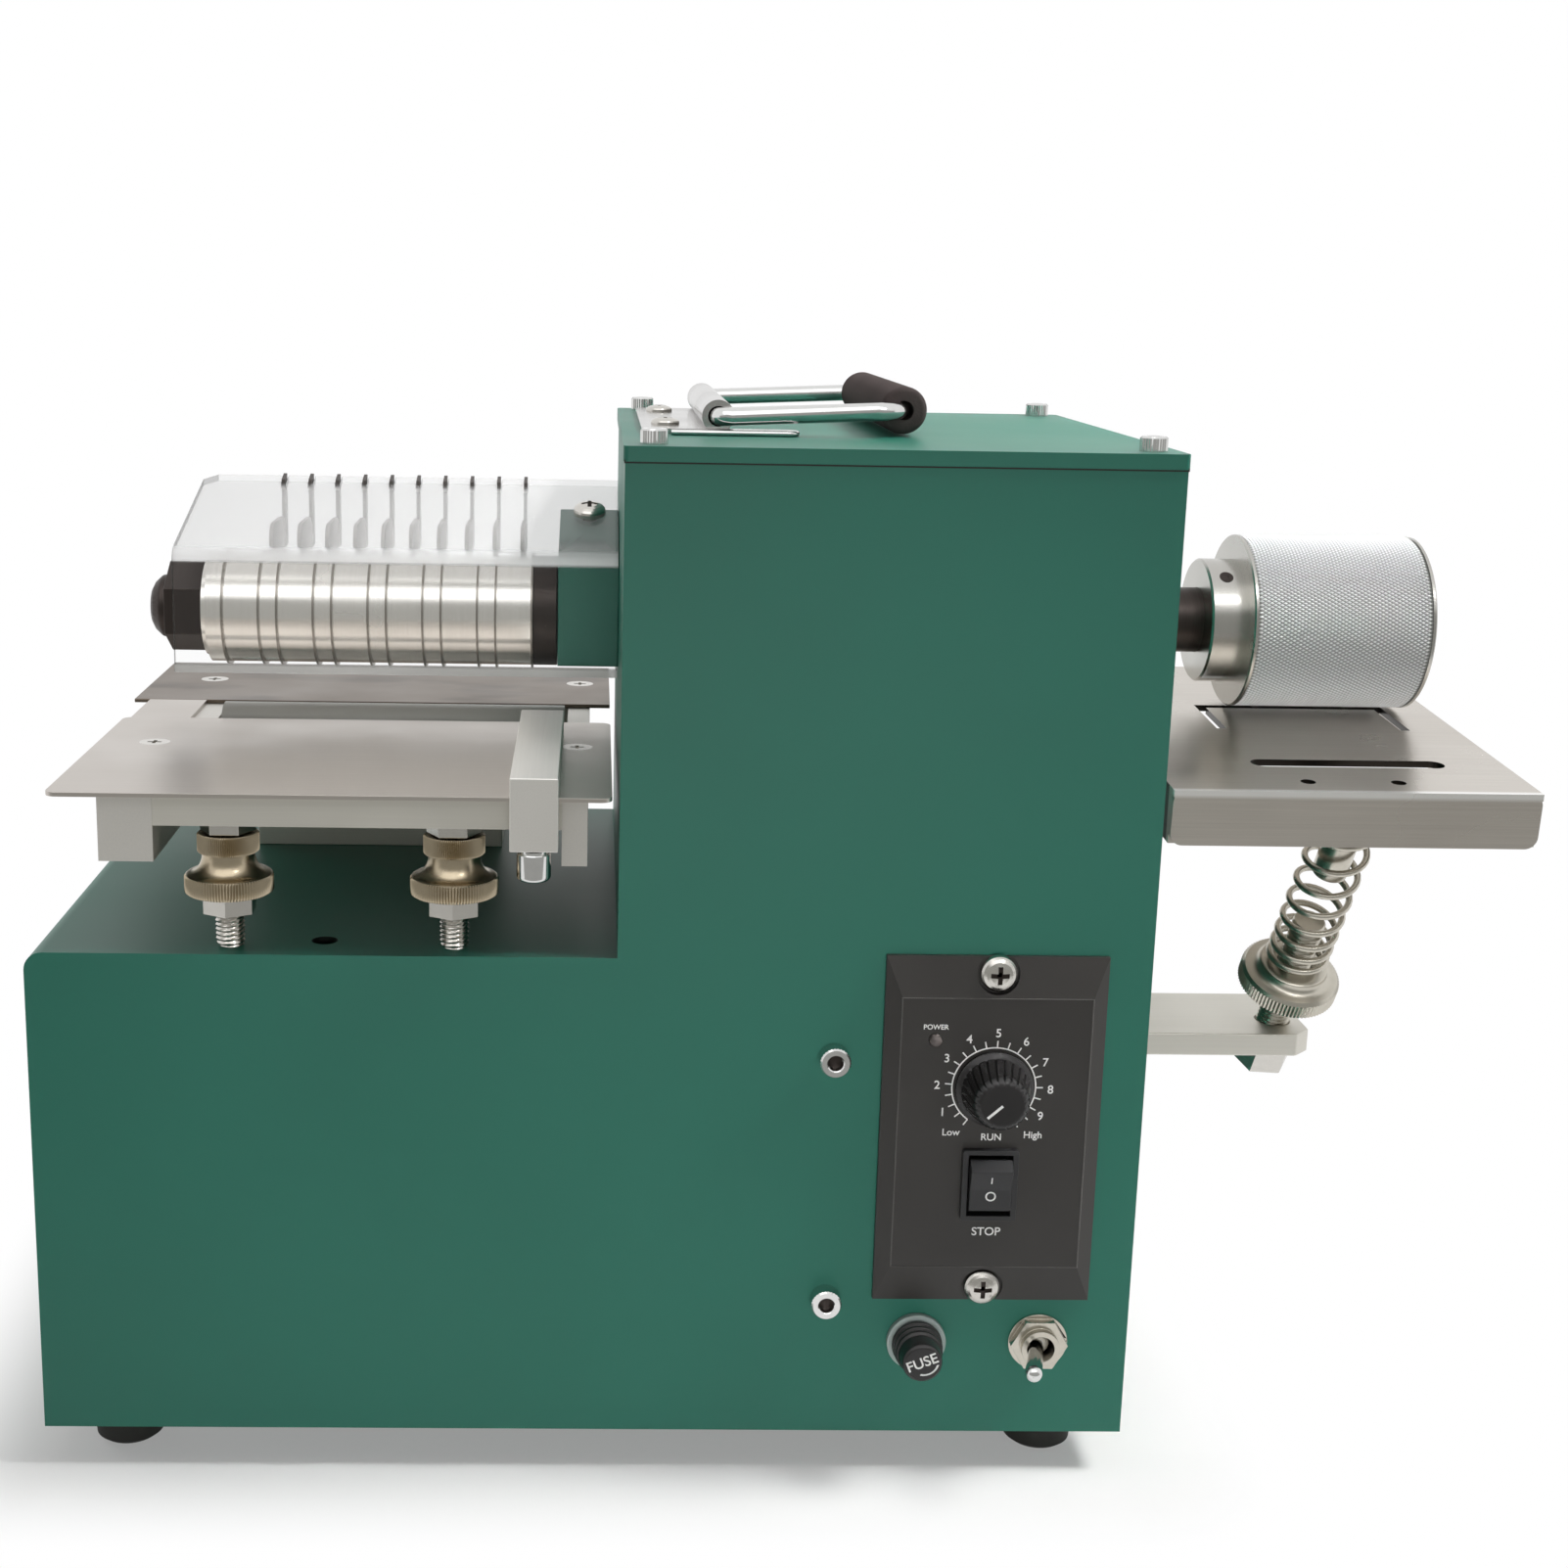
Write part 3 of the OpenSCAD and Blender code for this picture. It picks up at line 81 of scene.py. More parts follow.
# Lines that place the new pieces
SHAFT = joint_at("shaft_spin")
KNOB = joint_at("speed_turn")
FUSE = joint_at("fuse_turn")
HANDLE = joint_at("handle_fold")
ROCKER = joint_at("rocker_tip")
STUD = joint_at("spring_nut_turn")
STUD_AXIS = Vector(JOINTS["spring_nut_turn"]["axis"]).normalized()


# Node trees

class Nodes:
    """A node tree, with short forms for what its nodes do."""

    def __init__(self, tree):
        self.tree = tree

    def node(self, kind, **values):
        """A node with its sockets and settings given by name."""
        made = self.tree.nodes.new(kind)
        for key, value in values.items():
            if key in made.inputs:
                made.inputs[key].default_value = value
            else:
                setattr(made, key, value)
        return made

    def link(self, out, into):
        self.tree.links.new(out, into)

    def calculate(self, operation, *values):
        """The result of a calculation on other nodes' values."""
        made = self.node("ShaderNodeMath", operation=operation)
        for value, into in zip(values, made.inputs):
            self.link(value, into)
        return made.outputs[0]

    def vector(self, operation, value, *constants):
        """The result of a calculation on another node's vector and on constant ones."""
        made = self.node("ShaderNodeVectorMath", operation=operation)
        self.link(value, made.inputs[0])
        for constant, into in zip(constants, made.inputs[1:]):
            into.default_value = constant
        return made.outputs["Value" if operation == "LENGTH" else "Vector"]

    def separate(self, vector):
        """The X, Y and Z of a vector."""
        split = self.node("ShaderNodeSeparateXYZ")
        self.link(vector, split.inputs["Vector"])
        return split.outputs

    def ramp(self, value, start, end, low=0.0, high=1.0, **settings):
        """A value that goes from low to high while another goes from start to end."""
        mapped = self.node("ShaderNodeMapRange", **settings)
        for socket, number in (("From Min", start), ("From Max", end), ("To Min", low), ("To Max", high)):
            mapped.inputs[socket].default_value = number
        self.link(value, mapped.inputs["Value"])
        return mapped.outputs["Result"]

    def gradient(self, value, stops):
        """A colour that passes through stops given as (place, red, green, blue)."""
        ramp = self.node("ShaderNodeValToRGB")
        elements = ramp.color_ramp.elements
        while len(elements) < len(stops):
            elements.new(1.0)
        for element, (at, *color) in zip(elements, stops):
            element.position = at
            element.color = (*color, 1.0)
        self.link(value, ramp.inputs["Fac"])
        return ramp.outputs["Color"]

    def mix(self, share, color, other):
        """A colour that turns into another, constant one with a share."""
        made = self.node("ShaderNodeMixRGB", Color2=(*other, 1.0))
        self.link(share, made.inputs["Fac"])
        self.link(color, made.inputs["Color1"])
        return made.outputs["Color"]

    def blend(self, share, first, second):
        """A shader that turns into another with a share."""
        made = self.node("ShaderNodeMixShader")
        self.link(share, made.inputs["Fac"])
        self.link(first, made.inputs[1])
        self.link(second, made.inputs[2])
        return made.outputs[0]

    def point(self):
        """A point of the surface in the object's own metres."""
        return self.node("ShaderNodeTexCoord").outputs["Object"]

    def distance(self, at, across):
        """How far a point is from a line through another. The line's own axis has a 0 in across."""
        away = self.vector("MULTIPLY_ADD", self.point(), across, [-c * k for c, k in zip(at, across)])
        return self.vector("LENGTH", away)

    def facing(self, axis):
        """How squarely the surface looks along an axis, either way."""
        normal = self.node("ShaderNodeNewGeometry").outputs["Normal"]
        return self.calculate("ABSOLUTE", self.separate(normal)[axis])


class Shader(Nodes):
    """One material and the few nodes that its finish needs."""

    def __init__(self, name, color, rough, metal=0.0):
        self.mat = bpy.data.materials.new(name)
        self.mat.use_nodes = True
        super().__init__(self.mat.node_tree)
        self.bsdf = self.tree.nodes["Principled BSDF"]
        self.color = color
        self.rough = rough
        self.shown = None
        self.set("Base Color", (*color, 1.0))
        self.set("Roughness", rough)
        self.set("Metallic", metal)

    def set(self, socket, value):
        self.bsdf.inputs[socket].default_value = value

    def noise(self, scale, stretch=(1, 1, 1), detail=3.0):
        """Noise over the object's own metres, drawn out along the axes with a small stretch."""
        mapping = self.node("ShaderNodeMapping", Scale=stretch)
        noise = self.node("ShaderNodeTexNoise", Scale=scale, Detail=detail)
        self.link(self.point(), mapping.inputs["Vector"])
        self.link(mapping.outputs["Vector"], noise.inputs["Vector"])
        return noise.outputs["Fac"]

    def paint(self, color):
        """Shows another node's colour on the surface."""
        self.shown = color
        self.link(color, self.bsdf.inputs["Base Color"])

    def vary(self, value, amount):
        """Swings the base colour by an amount, from darker to lighter."""
        shares = (1 - amount, 1 + amount)
        stops = [(at, *[min(1.0, c * k) for c in self.color]) for at, k in zip(NOISE_SPAN, shares)]
        self.paint(self.gradient(value, stops))

    def roughen(self, value, swing):
        rough = self.ramp(value, *NOISE_SPAN, self.rough - swing, self.rough + swing)
        self.link(rough, self.bsdf.inputs["Roughness"])

    def bump(self, value, depth, strength):
        bump = self.node("ShaderNodeBump", Strength=strength, Distance=depth)
        self.link(value, bump.inputs["Height"])
        self.link(bump.outputs["Normal"], self.bsdf.inputs["Normal"])


# Finishes

def painted(name, color, rough, grain=1400.0):
    """Powder coat: a fine orange-peel surface and a slow change of shade."""
    s = Shader(name, color, rough)
    s.set("Specular IOR Level", 0.3)
    clouds = s.noise(9.0)
    s.vary(clouds, 0.05)
    s.roughen(clouds, 0.04)
    s.bump(s.noise(grain), 0.05 * MM, 0.3)
    return s


def pierced(s):
    """Paints shade on the coat inside the shelf's hole."""
    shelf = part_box("housing")[0]
    outside, inside = HOLE_R + 0.1 * MM, HOLE_R + 0.02 * MM
    away = s.distance((shelf.x + HOLE_AT[0], shelf.y + HOLE_AT[1], 0), (1, 1, 0))
    # Painted shade: the coat turns nearly black inside the hole
    s.paint(s.mix(s.ramp(away, outside, inside), s.shown, (0.008, 0.012, 0.010)))
    return s


def brushed(name, color, rough, stretch, amount=0.035, scale=2200.0, depth=0.004 * MM):
    """Metal with fine lines drawn along one axis and slow clouds in its polish."""
    s = Shader(name, color, rough, 1.0)
    lines = s.noise(scale, stretch, 4.0)
    s.vary(lines, amount)
    s.roughen(s.noise(28.0), 0.05)
    s.bump(lines, depth, 0.3)
    return s


def polished(name, color, rough, amount):
    """Metal with a fine even grain."""
    return brushed(name, color, rough, EVEN, amount, 600.0, 0.002 * MM)


def smeared(s, amount):
    """Darkens metal by an amount in streaks that run along X."""
    unstreaked, streak_full = 0.52, 0.66
    share = s.ramp(s.noise(45.0, (0.5, 1, 1)), unstreaked, streak_full)
    s.paint(s.mix(share, s.shown, [c * (1 - amount) for c in s.color]))
    return s


def slotted(s):
    """Paints a highlight along the sprung table's folded edge, and paints shade on the walls of its cut-outs
    and holes.
    """
    low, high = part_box("spring_table")
    fold = max((v.co for v in NODES["spring_table"].data.vertices), key=lambda v: v.z - v.y)
    plain, bright = 2.4 * MM, 1.2 * MM
    skirt, inner = 5 * MM, 5.5 * MM
    # Painted highlight: a bright line along the folded front edge
    fold_highlight = s.ramp(s.distance(fold, (0, 1, 1)), plain, bright)
    s.paint(s.mix(fold_highlight, s.shown, (0.95, 0.94, 0.92)))
    place = s.separate(s.point())
    # Painted shade: upright walls behind the skirt turn nearly black
    wall = s.ramp(s.facing("Z"), 0.6, 0.4)
    behind = s.ramp(place["Y"], low.y + skirt, low.y + inner)
    inboard = s.ramp(place["X"], high.x - skirt, high.x - inner)
    share = s.calculate("MULTIPLY", s.calculate("MULTIPLY", wall, behind), inboard)
    s.paint(s.mix(share, s.shown, (0.05, 0.045, 0.04)))
    return s


def clear_plastic():
    """Clear sheet: a painted highlight along its bend, a paler and less clear top, a pale band along its
    lower edge, and painted shade on the faces that look along X.
    """
    s = Shader("clear_guard", (0.36, 0.36, 0.35), 0.07)
    s.set("Specular IOR Level", 0.9)
    lower_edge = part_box("blade_guard")[0].z
    clear, lower_band_full = lower_edge + 3.0 * MM, lower_edge + 2.1 * MM
    lower_band_cover, cut_face_shade = 0.65, 0.95
    # Cover and grey by how far the sheet looks up: front, bend, top. The bend's pale, dense band is a painted
    # highlight.
    cover = ((0.0, 0.02), (0.15, 0.04), (0.32, 0.58), (0.82, 0.58), (0.94, 0.30))
    grey = ((0.15, 0.36), (0.32, 0.95), (0.82, 0.95), (0.94, 0.85))
    upward = s.facing("Z")
    cover_and_bend_highlight = s.gradient(upward, [(at, level, level, level) for at, level in cover])
    shade = s.gradient(upward, [(at, level, level, level) for at, level in grey])
    edge = s.ramp(s.separate(s.point())["Z"], clear, lower_band_full, 0.0, lower_band_cover)
    # Painted shade: faces that look along X, such as the notch walls, turn nearly black and opaque
    cut = s.ramp(s.facing("X"), 0.6, 0.8, 0.0, cut_face_shade)
    s.link(s.calculate("MAXIMUM", s.calculate("MAXIMUM", cover_and_bend_highlight, edge), cut), s.bsdf.inputs["Alpha"])
    pale = s.mix(edge, shade, (0.78, 0.78, 0.76))
    s.paint(s.mix(cut, pale, (0.06, 0.06, 0.055)))
    s.roughen(s.noise(30.0), 0.03)
    return s


def knurled():
    """Bright alloy with painted shade down in its grooves, brightest on the peaks."""
    s = Shader("knurled_alloy_groove_shade", (0.86, 0.86, 0.86), 0.60, 0.15)
    low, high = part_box("knurled_wheel")
    peak = (high.z - low.z) / 2
    height = s.ramp(s.distance(SHAFT, (0, 1, 1)), peak - KNURL_DEPTH, peak)
    # Painted shade: the colour darkens from the peaks down into the grooves
    s.paint(s.gradient(height, ((0.0, 0.26, 0.26, 0.25), (0.6, 0.90, 0.90, 0.91))))
    s.roughen(s.noise(60.0), 0.06)
    return s


def comb_tip():
    """Finger steel painted much paler than the comb where it lies under the guard, with painted shade at its
    very tip.
    """
    s = Shader("comb_tip_painted_pale_and_shaded", (0.90, 0.89, 0.88), 0.5)
    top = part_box("blade_guard")[1].z
    pale, dark = top - 3.6 * MM, top - 2.4 * MM
    s.vary(s.noise(900.0), 0.08)
    # Painted light and shade: pale lower down, nearly black from just below the guard's top upwards
    s.paint(s.mix(s.ramp(s.separate(s.point())["Z"], pale, dark), s.shown, (0.07, 0.06, 0.055)))
    return s


def moulded(name, color, rough, grain=2200.0, depth=0.04 * MM, gloss=0.4):
    """Moulded plastic or rubber with a fine grain."""
    s = Shader(name, color, rough)
    s.set("Specular IOR Level", gloss)
    clouds = s.noise(40.0)
    s.vary(clouds, 0.10)
    s.roughen(clouds, 0.05)
    s.bump(s.noise(grain), depth, 0.5)
    return s


def printed(name, color):
    """Ink with a slight grain."""
    s = Shader(name, color, 0.55)
    s.vary(s.noise(700.0), 0.06)
    return s


ALONG_X = (0.01, 1, 1)
ALONG_Y = (1, 0.01, 1)
ROUND_X = (1, 0.01, 0.01)
EVEN = (1, 1, 1)
LOOKS = {
    "green": pierced(painted("green_powder_coat", (0.020, 0.136, 0.096), 0.42)),
    "plate": brushed("brushed_plate", (0.56, 0.52, 0.48), 0.34, ALONG_X),
    "rear_plate": smeared(brushed("dark_brushed_plate", (0.19, 0.155, 0.125), 0.36, ALONG_X, 0.06), 0.35),
    "table": slotted(brushed("brushed_table", (0.60, 0.56, 0.51), 0.30, ALONG_X, 0.05)),
    "milled": brushed("milled_aluminium", (0.70, 0.68, 0.62), 0.48, ALONG_X, 0.02),
    "milled_y": brushed("milled_aluminium_lengthways", (0.72, 0.70, 0.66), 0.48, ALONG_Y, 0.02),
    "turned": brushed("turned_steel", (0.90, 0.88, 0.84), 0.24, ROUND_X, 0.03),
    "guide": brushed("ground_aluminium", (0.88, 0.86, 0.82), 0.45, ALONG_Y, 0.02),
    "roller": painted("pale_roller", (0.70, 0.69, 0.65), 0.35, 3000.0),
    "blade": brushed("ground_blade", (0.34, 0.32, 0.29), 0.30, ROUND_X, 0.05),
    "bright": polished("bright_zinc", (0.62, 0.60, 0.56), 0.24, 0.02),
    "chrome": polished("polished_steel", (0.70, 0.70, 0.69), 0.13, 0.02),
    "wheel": brushed("wheel_steel", (0.50, 0.49, 0.46), 0.24, ROUND_X, 0.03, depth=0.001 * MM),
    "hinge": brushed("pressed_steel", (0.50, 0.49, 0.48), 0.20, ALONG_Y, 0.03),
    "knurl": knurled(),
    "comb": brushed("comb_steel", (0.50, 0.48, 0.46), 0.42, ALONG_Y, 0.05),
    "comb_tip": comb_tip(),
    "nickel": polished("warm_nickel", (0.46, 0.39, 0.28), 0.26, 0.03),
    "grey_nickel": polished("grey_nickel", (0.56, 0.53, 0.46), 0.26, 0.03),
    "dark": brushed("blackened_steel_and_recess_shade", (0.060, 0.050, 0.046), 0.40, ROUND_X, 0.1),
    "bronze": brushed("sintered_bronze", (0.52, 0.36, 0.17), 0.45, EVEN, 0.05, 600.0),
    "panel": moulded("panel_black", (0.026, 0.024, 0.022), 0.40),
    "panel_edge": moulded("panel_edge_painted_highlight", (0.10, 0.095, 0.09), 0.30),
    "black": moulded("gloss_black", (0.016, 0.015, 0.015), 0.27, 900.0, 0.01 * MM),
    "switch": moulded("switch_black", (0.020, 0.020, 0.021), 0.36),
    "grey": moulded("pale_grey_plastic", (0.34, 0.40, 0.38), 0.45),
    "foam": moulded("foam_grip", (0.080, 0.064, 0.062), 0.9, 1800.0, 0.3 * MM, 0.05),
    "rubber": moulded("black_rubber_and_gap_shade", (0.020, 0.020, 0.018), 0.7, 1200.0, 0.1 * MM),
    "motor": painted("motor_paint", (0.05, 0.052, 0.058), 0.4),
    "lens": moulded("lamp_lens", (0.10, 0.085, 0.08), 0.2),
    "white": printed("white_print", (0.78, 0.78, 0.76)),
    "clear": clear_plastic(),
}

FINISH = {
    "green": ["housing", "rear_panel", "lid", "bearing_block"],
    "plate": ["front_plate", "motor_bracket"],
    "comb": ["stripper_comb"],
    "rear_plate": ["rear_plate"],
    "table": ["spring_table"],
    "milled": ["table_bars", "guide_block", "spring_arm"],
    "milled_y": ["table_arms"],
    "guide": ["edge_guide"],
    "roller": ["pressure_roller"],
    "turned": ["spacer_rings", "clamp_washer", "motor_pulley", "shaft_pulley"],
    "blade": ["cutter_blades"],
    "bright": ["socket_screws", "housing_screws", "table_screws", "jack_nuts", "left_jack", "right_jack",
               "stud_nut", "edge_guide_screw", "guide_posts", "table_hinge_pin", "pan_screws"],
    "chrome": ["handle_bail", "toggle_lever"],
    "hinge": ["handle_plate"],
    "knurl": ["knurled_wheel"],
    "grey_nickel": ["toggle_base", "spring_stud", "spring_nut", "table_stud", "table_spring"],
    "dark": ["main_shaft", "clamp_nut", "end_cap", "drum_collar"],
    "bronze": ["left_bush", "right_bush"],
    "panel": ["control_panel", "controller_box"],
    "black": ["speed_knob", "fuse_cap"],
    "switch": ["rocker_frame", "rocker", "cable_gland"],
    "grey": ["fuse_holder"],
    "foam": ["handle_grip"],
    "rubber": ["rubber_feet", "drive_belt"],
    "motor": ["gear_motor"],
    "lens": ["power_lamp"],
    "clear": ["blade_guard"],
}
for finish, names in FINISH.items():
    for name in names:
        NODES[name].data.materials.clear()
        NODES[name].data.materials.append(LOOKS[finish].mat)


# Edges of the solids that catch the light

def soften(name, width, angle):
    """Rounds a node's sharp edges a little, without touching its mesh."""
    node = NODES[name]
    touching, level = 0.005 * MM, 0.4
    weld = node.modifiers.new("weld", "WELD")
    weld.merge_threshold = touching
    flat = node.modifiers.new("flat", "DECIMATE")
    flat.decimate_type = "DISSOLVE"
    flat.angle_limit = math.radians(level)
    bevel = node.modifiers.new("edge", "BEVEL")
    bevel.width = width
    bevel.segments = 2
    bevel.limit_method = "ANGLE"
    bevel.angle_limit = math.radians(angle)
    bevel.face_strength_mode = "FSTR_AFFECTED"
    normals = node.modifiers.new("normals", "WEIGHTED_NORMAL")
    normals.use_face_influence = True
    normals.keep_sharp = False


EDGES = {
    0.7 * MM: ["housing", "lid", "bearing_block"],
    0.5 * MM: ["spring_table", "table_arms", "table_bars", "edge_guide", "guide_block", "spring_arm",
               "end_cap"],
    0.3 * MM: ["front_plate", "rear_plate", "control_panel", "clamp_nut", "blade_guard", "rocker",
               "rocker_frame", "toggle_base", "fuse_cap", "fuse_holder", "handle_plate", "jack_nuts",
               "stud_nut", "drum_collar"],
}
# Least angle in degrees of an edge that is rounded, and of the nodes with shallow ones
SHARP = 35.0
SHALLOW = {"control_panel": 10.0, "rocker": 6.0, "fuse_cap": 25.0}
for edge_width, names in EDGES.items():
    for name in names:
        soften(name, edge_width, SHALLOW.get(name, SHARP))


# Shapes made in code, each as its points and faces

def polar(radius, angle, z):
    return (radius * math.cos(angle), radius * math.sin(angle), z)


def raised(z):
    """A placement further along Z."""
    return Matrix.Translation((0, 0, z))


def along(direction, at):
    """A placement whose Z points along a direction."""
    return Matrix.Translation(at) @ Vector(direction).to_track_quat("Z", "Y").to_matrix().to_4x4()


def skin(rows, steps, closed=False):
    """Faces over rows of points that go round a bar. It has flat ends, or its last row meets its first."""
    faces = []
    for k in range(rows if closed else rows - 1):
        m = (k + 1) % rows
        for i in range(steps):
            j = (i + 1) % steps
            faces.append((k * steps + i, k * steps + j, m * steps + j, m * steps + i))
    if not closed:
        faces.append(list(range(steps))[::-1])
        faces.append([(rows - 1) * steps + i for i in range(steps)])
    return faces


def lathe(profile, steps=64):
    """Turns a closed profile of (radius, height) round Z. A third number is the depth of upright ribs."""
    verts = []
    for radius, z, *rib in profile:
        depth = rib[0] if rib else 0.0
        verts += [polar(radius - depth * (i % 2), 2 * math.pi * i / steps, z) for i in range(steps)]
    return verts, skin(len(profile), steps, True)


def thread(radius, pitch, length, depth, steps=24, rows=6):
    """A round bar whose surface follows a screw thread, with some rows of points to each turn."""
    count = int(length / pitch * rows)
    verts = []
    for k in range(count + 1):
        z = length * k / count
        fade = min(1.0, z / pitch, (length - z) / pitch)
        for i in range(steps):
            turn = (z / pitch - i / steps) % 1.0
            r = radius - depth * (1 - abs(2 * turn - 1)) - depth * (1 - fade) * 0.5
            verts.append(polar(r, 2 * math.pi * i / steps, z))
    return verts, skin(count + 1, steps)


def hex_bar(across, low, high, chamfer):
    """A hexagonal bar with its corners turned down at both ends."""
    r = across / math.sqrt(3)
    small, half = r - chamfer, chamfer / 2
    rows = ((small, low), (r, low + half), (r, high - half), (small, high))
    verts = [polar(radius, math.radians(60 * i + 30), z) for radius, z in rows for i in range(6)]
    return verts, skin(len(rows), 6)


def sweep(points, radius, sides=12, closed=False):
    """A round rod along a path."""
    n = len(points)
    points = [Vector(p) for p in points]
    verts = []
    side = None
    for i, p in enumerate(points):
        before = points[i - 1] if closed or i else p
        after = points[(i + 1) % n] if closed or i < n - 1 else p
        forward = (after - before).normalized()
        if side is None:
            side = forward.orthogonal().normalized()
        side = (side - forward * side.dot(forward)).normalized()
        up = forward.cross(side)
        for k in range(sides):
            a = 2 * math.pi * k / sides
            verts.append(p + radius * (math.cos(a) * side + math.sin(a) * up))
    return verts, skin(n, sides, closed)


def corner(centre, radius, start, end, steps=8):
    """Points of an arc in the XY plane, from one angle to another in degrees."""
    found = []
    for i in range(steps + 1):
        a = math.radians(start + (end - start) * i / steps)
        found.append((centre[0] + radius * math.cos(a), centre[1] + radius * math.sin(a)))
    return found


def strip(points_in, points_out, height):
    """A thin raised band between two lines of the same number of points."""
    n = len(points_in)
    verts = [(x, y, z) for z in (0, height) for line in (points_in, points_out) for x, y in line]
    faces = []
    for i in range(n - 1):
        a, b, c, d = i, n + i, 2 * n + i, 3 * n + i
        faces += [(c, d, d + 1, c + 1), (a, a + 1, b + 1, b), (a, c, c + 1, a + 1), (b, b + 1, d + 1, d)]
    faces += [(0, n, 3 * n, 2 * n), (n - 1, 3 * n - 1, 4 * n - 1, 2 * n - 1)]
    return verts, faces


def new_object(name, data):
    """An object in the scene that shows some data."""
    made = bpy.data.objects.new(name, data)
    bpy.context.scene.collection.objects.link(made)
    return made


class Solid:
    """Gathers several shapes into one piece."""

    def __init__(self):
        self.verts = []
        self.faces = []

    def add(self, shape, place=Matrix.Identity(4)):
        verts, faces = shape
        start = len(self.verts)
        self.verts += [place @ Vector(v) for v in verts]
        self.faces += [[start + i for i in f] for f in faces]

    def piece(self, name, look, body, node=None, smooth=True):
        """A mesh that rides on a body and, where one is named, stands for a node."""
        sharp = math.radians(38)
        mesh = bpy.data.meshes.new(name)
        mesh.from_pydata([tuple(v) for v in self.verts], [], self.faces)
        mesh.validate()
        mesh.materials.append(LOOKS[look].mat)
        mesh.polygons.foreach_set("use_smooth", [smooth] * len(mesh.polygons))
        made = new_object(name, mesh)
        if smooth:
            mesh.set_sharp_from_angle(angle=sharp)
        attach(made, body)
        if node:
            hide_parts(node)
        return made


# Knurled wheel: a turned hub, and a rim of small pyramids between crossing grooves

def knurled_rim(radius, low, high, around, rows, depth):
    """A lattice of points whose odd places are peaks; each peak is joined to its four neighbours."""
    verts = []
    for k in range(rows + 1):
        z = low + (high - low) * k / rows
        for i in range(around):
            peak = (i + k) % 2 and 0 < k < rows
            r = radius if peak else radius - depth
            verts.append(polar(r, 2 * math.pi * i / around, z))
    faces = []
    for k in range(rows):
        for i in range(around):
            j = (i + 1) % around
            quad = [k * around + i, k * around + j, (k + 1) * around + j, (k + 1) * around + i]
            if (i + k) % 2:
                quad = quad[1:] + quad[:1]
            faces.append([quad[0], quad[1], quad[2]])
            faces.append([quad[0], quad[2], quad[3]])
    return verts, faces


def make_wheel():
    low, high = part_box("knurled_wheel")
    length = high.x - low.x
    radius = (high.z - low.z) / 2
    bore, mouth = 10.1 * MM, 1 * MM
    hub_r, hub_len, hub_edge = 19 * MM, 10.6 * MM, 0.6 * MM
    lip, lip_edge = 1.2 * MM, 0.4 * MM
    near, far = hub_len + lip, length - lip
    groove = radius - KNURL_DEPTH
    inner = groove - 1 * MM
    around, rows = 278, 52
    place = Matrix.Translation((low.x, SHAFT.y, SHAFT.z)) @ Matrix.Rotation(math.pi / 2, 4, "Y")
    profile = [
        (bore, 0), (hub_r - hub_edge, 0), (hub_r, hub_edge), (hub_r, hub_len), (radius - lip_edge, hub_len),
        (radius, hub_len + lip_edge), (radius, near), (groove, near), (inner, near), (inner, far),
        (groove, far), (radius, far), (radius, length - lip_edge), (radius - lip_edge, length),
        (bore + mouth, length), (bore, length - mouth)]
    hub = Solid()
    hub.add(lathe(profile, 128), place)
    hub.piece("knurled_wheel_body", "wheel", "cutter_shaft", "knurled_wheel")
    rim = Solid()
    rim.add(knurled_rim(radius, near, far, around, rows, KNURL_DEPTH), place)
    rim.piece("knurled_wheel_rim", "knurl", "cutter_shaft", smooth=False)

    tilt = math.radians(52)
    screw_r, socket_r, screw_h, sunk = 2.1 * MM, 0.9 * MM, 0.3 * MM, 0.25 * MM
    socket, socket_h, socket_edge = 1.7 * MM, 0.28 * MM, 0.02 * MM
    out = Vector((0, -math.cos(tilt), math.sin(tilt)))
    at = Vector((low.x + hub_len / 2, SHAFT.y, SHAFT.z)) + out * (hub_r - sunk)
    set_screw = Solid()
    set_screw.add(lathe([(socket_r, 0), (screw_r, 0), (screw_r, screw_h), (socket_r, screw_h)], 24),
                  along(out, at))
    set_screw.add(hex_bar(socket, 0, socket_h, socket_edge), along(out, at))
    set_screw.piece("hub_set_screw", "dark", "cutter_shaft")


# Jack screws: threaded stud, bell-shaped wheel with a coin edge, lock nut

